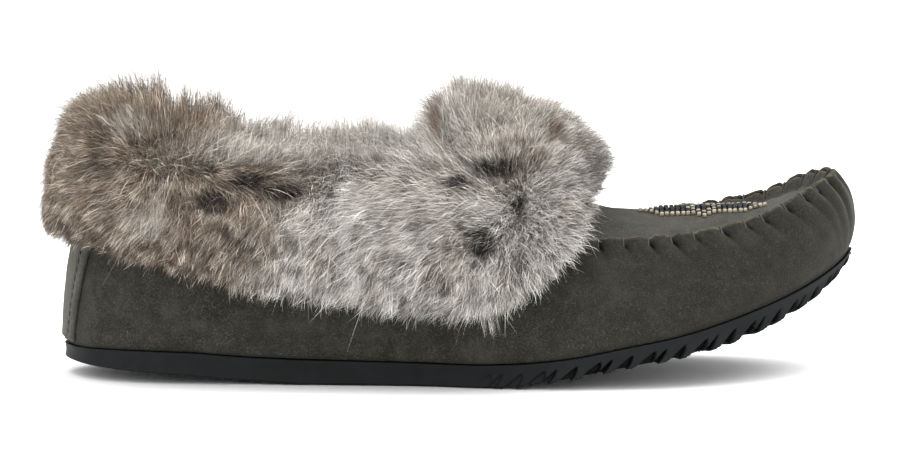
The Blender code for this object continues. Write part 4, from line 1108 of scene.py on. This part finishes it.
def build_footbed(material):
    """The fleece face of the footbed: a soft slab with a crowned, piled top."""
    fine = np.linspace(0, len(OUTLINE), 900, endpoint=False)
    edge = around(OUTLINE, fine) - FOOTBED_INSET * outward(OUTLINE, fine)[:, :2]
    middle_y = np.interp(edge[:, 0], [-120, 0, 120], [2, -2, 6])
    middle = np.column_stack([np.clip(edge[:, 0], -100, 95), middle_y])
    bottom = FOOTBED_TOP - FOOTBED_FACE
    rows = []
    for share in (1.0, 0.75, 0.5, 0.25, 0.0):
        place = edge + share * (middle - edge)
        rows.append(np.column_stack([place, smooth(FEATHER, place[:, 0]) + bottom]))
    for share in np.concatenate([[0.0, 0.01, 0.03], np.linspace(0.06, 1.0, 34)]):
        place = edge + share * (middle - edge)
        swell = FOOTBED_FACE * min(1.0, 0.35 + 3.0 * math.sqrt(share))
        z = smooth(FEATHER, place[:, 0]) + bottom + swell
        points = np.column_stack([place, z])
        pile = 0.35 * np.abs(waves(points, 3.2, 53)) + 0.25 * waves(points, 8, 54)
        points[:, 2] += pile * min(1.0, share * 12)
        rows.append(points)
    grid = np.array(rows)
    faces = skin_faces(grid, closed_rows=False)
    obj = new_piece("footbed_pile", grid, [faces], material, ["footbed_fleece"])


# ---------------------------------------------------------------- the fur

FUR_W = np.linspace(0, len(CUFF), 20 * len(CUFF), endpoint=False)
FUR_S = np.concatenate([[-0.30, -0.15, -0.05], np.linspace(0, 1, 21), [1.06]])


def cuff_rows(w, s):
    """Points of the cuff's fur side at each of w and s: from the fold (0) to the lower edge (1)."""
    fold = around(FOLD, w)
    shoulder = fold + 3.4 * outward(FOLD, w) - [0, 0, 2.2]
    middle, edge = around([row[1] for row in CUFF], w), around([row[2] for row in CUFF], w)
    found = np.empty((len(w), len(s), 3))
    for i in range(len(w)):
        path = np.array([(0.0, *fold[i]), (0.16, *shoulder[i]), (0.58, *middle[i]), (1.0, *edge[i])])
        found[i] = smooth(path, s)
    return found


def combed(points):
    """The way the fur lies at the points, from the combing table, as level x and upright z shares."""
    places = np.array([c[0] for c in COMBED], float)
    ways = np.array([c[1] for c in COMBED], float)
    off = np.linalg.norm(points[..., None, [0, 2]] - places, axis=-1)
    weights = np.exp(-((off / COMB_REACH) ** 2)) + 1e-4 / (1 + off**2)
    return (weights[..., None] * ways).sum(axis=-2) / weights.sum(axis=-1)[..., None]


def forefoot_share(w):
    """1 where the cuff lies over the forefoot, 0 along the sides and the heel."""
    return ease((w - 5.2) / 0.8) * ease((12.6 - w) / 0.8)


def fur_grids():
    """Roots, height vectors and combing vectors of the fur over the cuff, as grids over FUR_W and FUR_S."""
    s = FUR_S[(FUR_S >= 0) & (FUR_S <= 1)]
    cuff = cuff_rows(FUR_W, s)
    along = cuff_rows(FUR_W + 0.6, s) - cuff_rows(FUR_W - 0.6, s)
    down = cuff_rows(FUR_W, np.minimum(s + 0.2, 1)) - cuff_rows(FUR_W, np.clip(s - 0.2, 0.1, 0.8))
    leans = unit(np.cross(down, along))
    fold, out = around(FOLD, FUR_W), outward(FOLD, FUR_W)
    rise, thick, lean = np.moveaxis(around([row[3:] for row in CUFF], FUR_W), -1, 0)[..., None]
    share = smooth(FUR_SHARE, s)
    height = share[None, :, None] * thick[:, None] * leans
    blend = ease((s - 0.04) / 0.26)[None, :, None]
    fanned = (0.55 * thick[:, None] * out[:, None]) * (s[None, :, None] / 0.2)
    crest = rise[:, None] * UP + fanned - 0.25 * lean[:, None] * out[:, None]
    height = crest * (1 - blend) + height * blend
    # Hairs on the mouth's side of the fold: how far in and down their roots are, and in and up their tips.
    inner_roots = np.stack([fold - a * out - b * UP for a, b in ((0.9, 4.0), (0.6, 1.8), (0.2, 0.5))], axis=1)
    leaning = ((1.1, 0.05), (1.1, 0.45), (0.7, 0.85))
    inner_tips = np.stack([fold - a * lean * out + b * rise * UP for a, b in leaning], axis=1)
    # Over the forefoot the last hairs hang from the lower edge and hide it.
    front, downward = forefoot_share(FUR_W)[:, None], unit(down[:, -1])
    hanging = (1 - 0.7 * front) * height[:, -1] + front * (2.6 * downward - 1.6 * leans[:, -1])
    hem = cuff[:, -1] + 0.3 * front * downward
    roots = np.concatenate([inner_roots, cuff, hem[:, None]], axis=1)
    heights = np.concatenate([inner_tips - inner_roots, height, hanging[:, None]], axis=1)
    for (x, z), (wide, tall), missing in HOLLOWS:
        off = ((roots[..., 0] - x) / wide) ** 2 + ((roots[..., 2] - z) / tall) ** 2
        heights = heights * (1 - missing * np.exp(-off))[..., None]
    way = combed(roots + 0.6 * heights)
    # Along the fold the fur stands up, and is hardly combed down over either side.
    stand = 0.25 + 0.35 * ease((-80 - roots[..., :1]) / 15)
    crest = stand + (1 - stand) * ease((FUR_S + 0.02) / 0.22)[None, :, None]
    way = way * crest
    way[..., 1] = np.where(way[..., 1] < 0, way[..., 1] * crest[..., 0], way[..., 1])
    comb = np.stack([way[..., 0], np.zeros(way.shape[:-1]), way[..., 1]], axis=-1)
    normal = unit(heights)
    comb = comb - (comb * normal).sum(axis=-1, keepdims=True) * normal
    return roots, heights, comb


def grid_read(grid, w, s):
    """Reads a grid over FUR_W and FUR_S between its points."""
    i = (w % len(CUFF)) / len(CUFF) * len(FUR_W)
    i0 = np.floor(i).astype(int) % len(FUR_W)
    a = (i - np.floor(i))[:, None]
    j = np.interp(s, FUR_S, np.arange(len(FUR_S)))
    j0 = np.minimum(np.floor(j).astype(int), len(FUR_S) - 2)
    b = (j - j0)[:, None]
    i1 = (i0 + 1) % len(FUR_W)
    return ((1 - a) * ((1 - b) * grid[i0, j0] + b * grid[i0, j0 + 1])
            + a * ((1 - b) * grid[i1, j0] + b * grid[i1, j0 + 1]))


def scattered_roots(rng, grids, pelt, count, s_range):
    """Positions (w, s) spread evenly by area over a pelt."""
    tries = count * 4
    w, s = rng.uniform(*PELTS[pelt], tries), rng.uniform(*s_range, tries)
    here = grid_read(grids[0], w, s)
    area = np.linalg.norm(np.cross(grid_read(grids[0], w + 0.05, s) - here,
                                   grid_read(grids[0], w, s + 0.02) - here + 1e-6), axis=1)
    area = np.where(s > 1, 0.8 * forefoot_share(w) * np.percentile(area, 97), area)
    kept = rng.uniform(0, 1, tries) < area / np.percentile(area, 97)
    w, s = w[kept][:count], s[kept][:count]
    return w, s


def marks_at(points, marks_and_painted_shading):
    """How strongly a table of markings lies at the points, painted shade and painted light among them."""
    total = 0
    for (x, z), (wide, tall), strength, side in marks_and_painted_shading:
        off = ((points[..., 0] - x) / wide) ** 2 + ((points[..., 2] - z) / tall) ** 2
        here = ease(0.5 + side * (points[..., 1] + 8) / 8) if side else 1.0
        total = np.maximum(total, strength * here * np.exp(-off))
    return total


def warmth_at(points):
    """How brown the fur is: the heel and some tufts are browner than the grey front."""
    x, z = points[..., 0], points[..., 2]
    warm = 0.8 * ease((-40 - x) / 50) + 0.1 + 0.3 * ease((62 - z) / 14) * ease((-55 - x) / 25)
    for cx, cz, size in ((-10, 87, 6), (31, 86, 6), (42, 74, 8), (-70, 63, 10), (12, 70, 8), (-118, 70, 14)):
        warm = warm + 0.55 * np.exp(-((x - cx) ** 2 + (z - cz) ** 2) / size**2)
    return np.clip(warm + 0.22 * waves(points, 12, 61), 0, 1)


def build_coat(name, pelt, grids, material, seed, coat):
    """One layer of a pelt's fur: tapering ribbons of hair in clumps, combed over the cuff."""
    rng = np.random.default_rng(seed)
    w, s = scattered_roots(rng, grids, pelt, coat["clumps"], (-0.3, 1.05))
    clumps = len(w)
    root, height, comb = (grid_read(g, w, s) for g in grids)
    normal = unit(height)
    side = unit(np.cross(normal, comb + 1e-3))
    swing = 0.32 * waves(root, 13, 71)[:, None] + 0.22 * waves(root, 6, 72)[:, None]
    swing = swing + rng.normal(0, coat["wild"], (clumps, 1))
    comb = comb + swing * side * np.maximum(np.linalg.norm(comb, axis=1, keepdims=True), 0.4)
    # The hairs along the lower edge are shorter, though less so over the forefoot.
    shorter = (0.50 - 0.22 * forefoot_share(w)) * ease((s - 0.45) / 0.5)
    lay = coat["lay"] * (1.0 - shorter)[:, None] * rng.uniform(0.8, 1.15, (clumps, 1))
    lay = lay * np.where(rng.uniform(0, 1, (clumps, 1)) < 0.18, 0.3, 1.0) * np.where(s > 1, 0.3, 1.0)[:, None]
    lift = rng.uniform(0.84, 1.06, (clumps, 1)) * (1 + 0.13 * waves(root, 9, 73)[:, None])
    t = np.linspace(0, 1, coat["sections"])
    rise, sweep = np.sin(0.5 * math.pi * t) ** 0.9, t**1.6

    def curve(start, tall, rise_by, lay_by, way):
        risen = start[:, None] + tall[:, None] * (rise_by * rise)[..., None]
        return risen + way[:, None] * (lay_by * sweep)[..., None]

    core = curve(root, height * coat["reach"], lift, lay, comb)
    index = np.repeat(np.arange(clumps), coat["hairs"])
    count = len(index)
    tangent_a = unit(np.cross(normal, [0.3, 0.2, 1.0]))[index]
    tangent_b = np.cross(normal[index], tangent_a)
    start = root[index] + rng.normal(0, coat["spread"], (count, 1)) * tangent_a
    start = start + rng.normal(0, coat["spread"], (count, 1)) * tangent_b
    stray = rng.uniform(0, 1, count) < coat["strays"]
    jitter = np.where(stray, 0.5, 0.18)[:, None]
    sideways = rng.normal(0, 1, (count, 1)) * tangent_a
    way = comb[index] + jitter * (sideways + rng.normal(0, 1, (count, 1)) * tangent_b)
    size = np.clip(rng.normal(0.95, 0.14, (count, 1)), 0.5, 1.25)
    near_edge = (s[index] > 0.6)[:, None]
    crest = (s[index] < 0.22)[:, None]
    long = (rng.uniform(0, 1, (count, 1)) < np.where(crest, 0.20, 0.10)) & ~near_edge
    lengthened = size * rng.uniform(1.1, np.where(crest, 1.65, 1.35))
    size = np.where(long, lengthened, np.where(stray[:, None] & near_edge, 0.8 * size, size))
    tall = height[index] * coat["reach"]
    own = curve(start, tall, lift[index] * size * rng.uniform(0.9, 1.1, (count, 1)), lay[index] * size, way)
    hold = coat["tidy"] * rng.uniform(0.4, 1.0, count) * np.where(stray, 0.1, 1.0)
    hair = own + (hold[:, None] * t**1.4)[..., None] * (core[index] - own)
    bow, swan = np.sin(math.pi * t)[None, :, None], np.sin(2 * math.pi * t)[None, :, None]
    for tangent in (tangent_a, tangent_b):
        shared = 0.7 * rng.normal(0, 1, (clumps, 1, 1))[index]
        curl = coat["curl"] * (shared + 0.5 * rng.normal(0, 1, (count, 1, 1)))
        twist = 0.35 * rng.normal(0, coat["curl"], (count, 1, 1))
        hair = hair + (curl * bow + twist * swan) * tangent[:, None]
    hair = hair - 0.9 * (t**2)[None, :, None] * [0, 0, 1.0]
    heading = unit(np.gradient(hair, axis=1))
    across = unit(np.cross(heading, np.broadcast_to(normal[index][:, None], heading.shape)))
    roll = rng.normal(0, 0.6, (count, 1, 1))
    across = across * np.cos(roll) + np.cross(heading, across) * np.sin(roll)
    shape = np.clip(0.75 + 0.9 * t - 1.55 * t**2, 0.0, 1.0)
    thin = np.where(long, 0.5, 1.0) * rng.uniform(0.7, 1.25, (count, 1))
    half = (0.5 * coat["width"] * thin * shape[None, :])[..., None]
    pairs = np.stack([(hair - half * across)[:, :-1], (hair + half * across)[:, :-1]], axis=2)
    points = np.concatenate([pairs.reshape(count, -1, 3), hair[:, -1:]], axis=1).clip(*FUR_LIMITS)
    n = points.shape[1]
    first = (np.arange(count) * n)[:, None]
    k = first + 2 * np.arange(coat["sections"] - 2)[None, :]
    quads = np.stack([k, k + 1, k + 3, k + 2], axis=-1).reshape(-1, 4)
    tips = first + n - np.array([3, 2, 1])
    tone = np.clip(0.55 * rng.uniform(0, 1, clumps)[index] + 0.45 * rng.uniform(0, 1, count), 0, 1)
    uneven = (1 + 0.35 * waves(points, 3.5, 62)) * np.where(rng.uniform(0, 1, (count, 1)) < 0.18, 0.0, 1.0)
    # The markings with their painted shade and light; the dark ones stay off the hairs on the mouth's side of
    # the fold.
    outside = ease((s + 0.02) / 0.08)[index][:, None]
    marks_and_painted_shading = np.clip((marks_at(points, DARK_MARKS_AND_PAINTED_SHADE) * outside - marks_at(points, PALE_MARKS_AND_PAINTED_LIGHT)) * uneven, -1, 1)
    return new_piece(name, points, [quads, tips], material, [pelt], {
        "along": np.broadcast_to(np.append(np.repeat(t[:-1], 2), 1.0), (count, n)),
        "tone": np.repeat(tone, n),
        "own": np.repeat(rng.uniform(0, 1, count), n),
        "warmth": np.repeat(warmth_at(root)[index], n),
        "rust": marks_at(points, RUST_MARKS),
        "marks_and_painted_shading": marks_and_painted_shading,
    })


def build_wool(grids, material):
    """The dense wool next to the skin: a lumpy closed shell under the hairs, which hides the leather."""
    roots, heights, comb = grids
    cap = 0.42 + 0.10 * waves(roots, 6, 81) + 0.06 * waves(roots, 2.5, 82)
    taper = np.minimum(1, np.minimum(np.arange(len(FUR_S)), np.arange(len(FUR_S))[::-1]) / 2 + 0.15)
    outer = roots + (cap * taper)[..., None] * heights + 2.2 * comb * (cap * taper)[..., None]
    inner = roots + 0.03 * heights
    ring = np.concatenate([outer, inner[:, ::-1]], axis=1).transpose(1, 0, 2)
    # The markings on the wool, with their painted shade and painted light.
    marks_and_painted_shading = np.clip(marks_at(ring, DARK_MARKS_AND_PAINTED_SHADE) - marks_at(ring, PALE_MARKS_AND_PAINTED_LIGHT), -1, 1)
    return new_piece("fur_wool", ring, [skin_faces(ring)], material, (), {"marks_and_painted_shading": marks_and_painted_shading})


def build_fur():
    """The wool, and over it each pelt's layers of hair."""
    materials = {
        "undercoat": fur_material("fur_undercoat", (0.30, 0.270, 0.237), 0.45),
        "guard": fur_material("fur_guard", (0.51, 0.475, 0.435), 0.36),
        "fluff": fur_material("fur_fluff", (0.54, 0.505, 0.465), 0.30),
        "wisps": fur_material("fur_wisps", (0.70, 0.67, 0.63), 0.36),
    }
    grids = fur_grids()
    build_wool(grids, wool_material())
    for order, pelt in enumerate(PELTS):
        for layer, (kind, coat) in enumerate(COATS.items()):
            build_coat(f"{pelt}_{kind}", pelt, grids, materials[kind], 100 * (layer + 1) + order, coat)


# ---------------------------------------------------------------- stage, camera and the whole

def build_stage():
    """A plain pale floor, and soft light from all round, from above and from in front."""
    scene = bpy.context.scene
    scene.view_settings.view_transform = "Standard"
    world = bpy.data.worlds.new("studio")
    world.use_nodes = True
    background = world.node_tree.nodes["Background"]
    background.inputs["Color"].default_value = (1.0, 1.0, 1.0, 1.0)
    background.inputs["Strength"].default_value = 1.3
    scene.world = world
    bpy.ops.mesh.primitive_circle_add(vertices=96, radius=40, fill_type="NGON", location=(0, 0, -0.0002))
    floor = bpy.context.object
    floor.name = "floor"
    material, tree, shader, place = new_material("floor", 0.9, Specular_IOR_Level=0.1)
    tone = mix(tree, noise(tree, place, 400.0, 1.0), (0.90, 0.90, 0.90), (0.94, 0.94, 0.94))
    tree.links.new(tone, shader.inputs["Base Color"])
    floor.data.materials.append(material)
    lamps = (("front", (-0.4, -1.7, 0.9), 1.4, 12), ("top", (0.25, 0.1, 1.5), 2.2, 40))
    for name, place, size, power in lamps:
        light = bpy.data.lights.new(name, "AREA")
        light.size, light.energy = size, power
        lamp = bpy.data.objects.new(name, light)
        lamp.location = place
        lamp.rotation_euler = (Vector((0, 0, 0.03)) - Vector(place)).to_track_quat("-Z", "Y").to_euler()
        scene.collection.objects.link(lamp)


def build_camera():
    """The camera: level with the slipper's side, a little above it, with a long lens."""
    distance, elevation, view_width = 1.6, math.radians(6.5), 0.2938
    target = Vector((-0.0003, 0.0, 0.0476))
    camera = bpy.data.cameras.new("camera")
    camera.lens = camera.sensor_width * distance / view_width
    camera.clip_start, camera.clip_end = 0.05, 100
    obj = bpy.data.objects.new("camera", camera)
    back = Vector((0, -math.cos(elevation), math.sin(elevation)))
    obj.location = target + distance * back
    obj.rotation_euler = (-back).to_track_quat("-Z", "Y").to_euler()
    bpy.context.scene.collection.objects.link(obj)
    bpy.context.scene.camera = obj


def dress(material, *names):
    """Gives CAD nodes whose shape stays a procedural material."""
    for name in names:
        NODES[name].data.materials.clear()
        NODES[name].data.materials.append(material)


def main():
    build_camera()
    build_stage()
    body_suede = suede_material("body_suede", (0.011, 0.0108, 0.0087), (0.037, 0.0364, 0.0295),
                                (0.125, 0.120, 0.096), RAW_EDGE)
    plug_suede = suede_material("plug_suede", (0.015, 0.0145, 0.0115), (0.046, 0.0445, 0.0363),
                                (0.170, 0.162, 0.134), (0.17, 0.13, 0.085))
    # The heel stay: a lighter copy of the body's suede, painted light standing in for the light on the heel
    # from the left and behind.
    stay_suede_painted_lighter = suede_material("stay_suede_painted_lighter", (0.040, 0.0395, 0.0328), (0.098, 0.0955, 0.080),
                                (0.20, 0.191, 0.156), RAW_EDGE)
    fleece = soft_material("lining_fleece", (0.36, 0.33, 0.28), (0.62, 0.58, 0.51), 1.6)
    thread = thread_material("seam_thread", (0.020, 0.0195, 0.018), (0.055, 0.052, 0.046))
    build_body(body_suede)
    build_plug(plug_suede)
    build_seam_stitches(thread)
    build_beads(bead_material("bead_cream", (0.15, 0.125, 0.085), (0.34, 0.30, 0.225), 0.25, 0.35),
                bead_material("bead_navy", (0.0006, 0.001, 0.002), (0.002, 0.004, 0.008), 0.22, 0.08))
    build_heel_stay(stay_suede_painted_lighter, thread)
    build_outsole(rubber_material())
    build_lining(fleece)
    build_footbed(fleece)
    build_fur()
    board = soft_material("insole_board", (0.22, 0.16, 0.10), (0.42, 0.33, 0.22), 0.8, 0.9, 0.1, 0.0)
    filler = soft_material("bottom_filler", (0.13, 0.115, 0.095), (0.26, 0.235, 0.20), 0.7, sheen=0.1)
    foam = soft_material("footbed_foam", (0.52, 0.50, 0.44), (0.68, 0.66, 0.60), 0.9, sheen=0.0)
    leather = soft_material("cuff_leather", (0.10, 0.085, 0.068), (0.19, 0.165, 0.135), 1.1, 0.8, 0.15, 0.1)
    dress(board, "insole_board", "heel_counter")
    dress(filler, "bottom_filler")
    dress(foam, "footbed_foam")
    dress(leather, "cuff_leather")
    dress(fleece, "plug_lining")
    dress(thread, "collar_thread")


main()
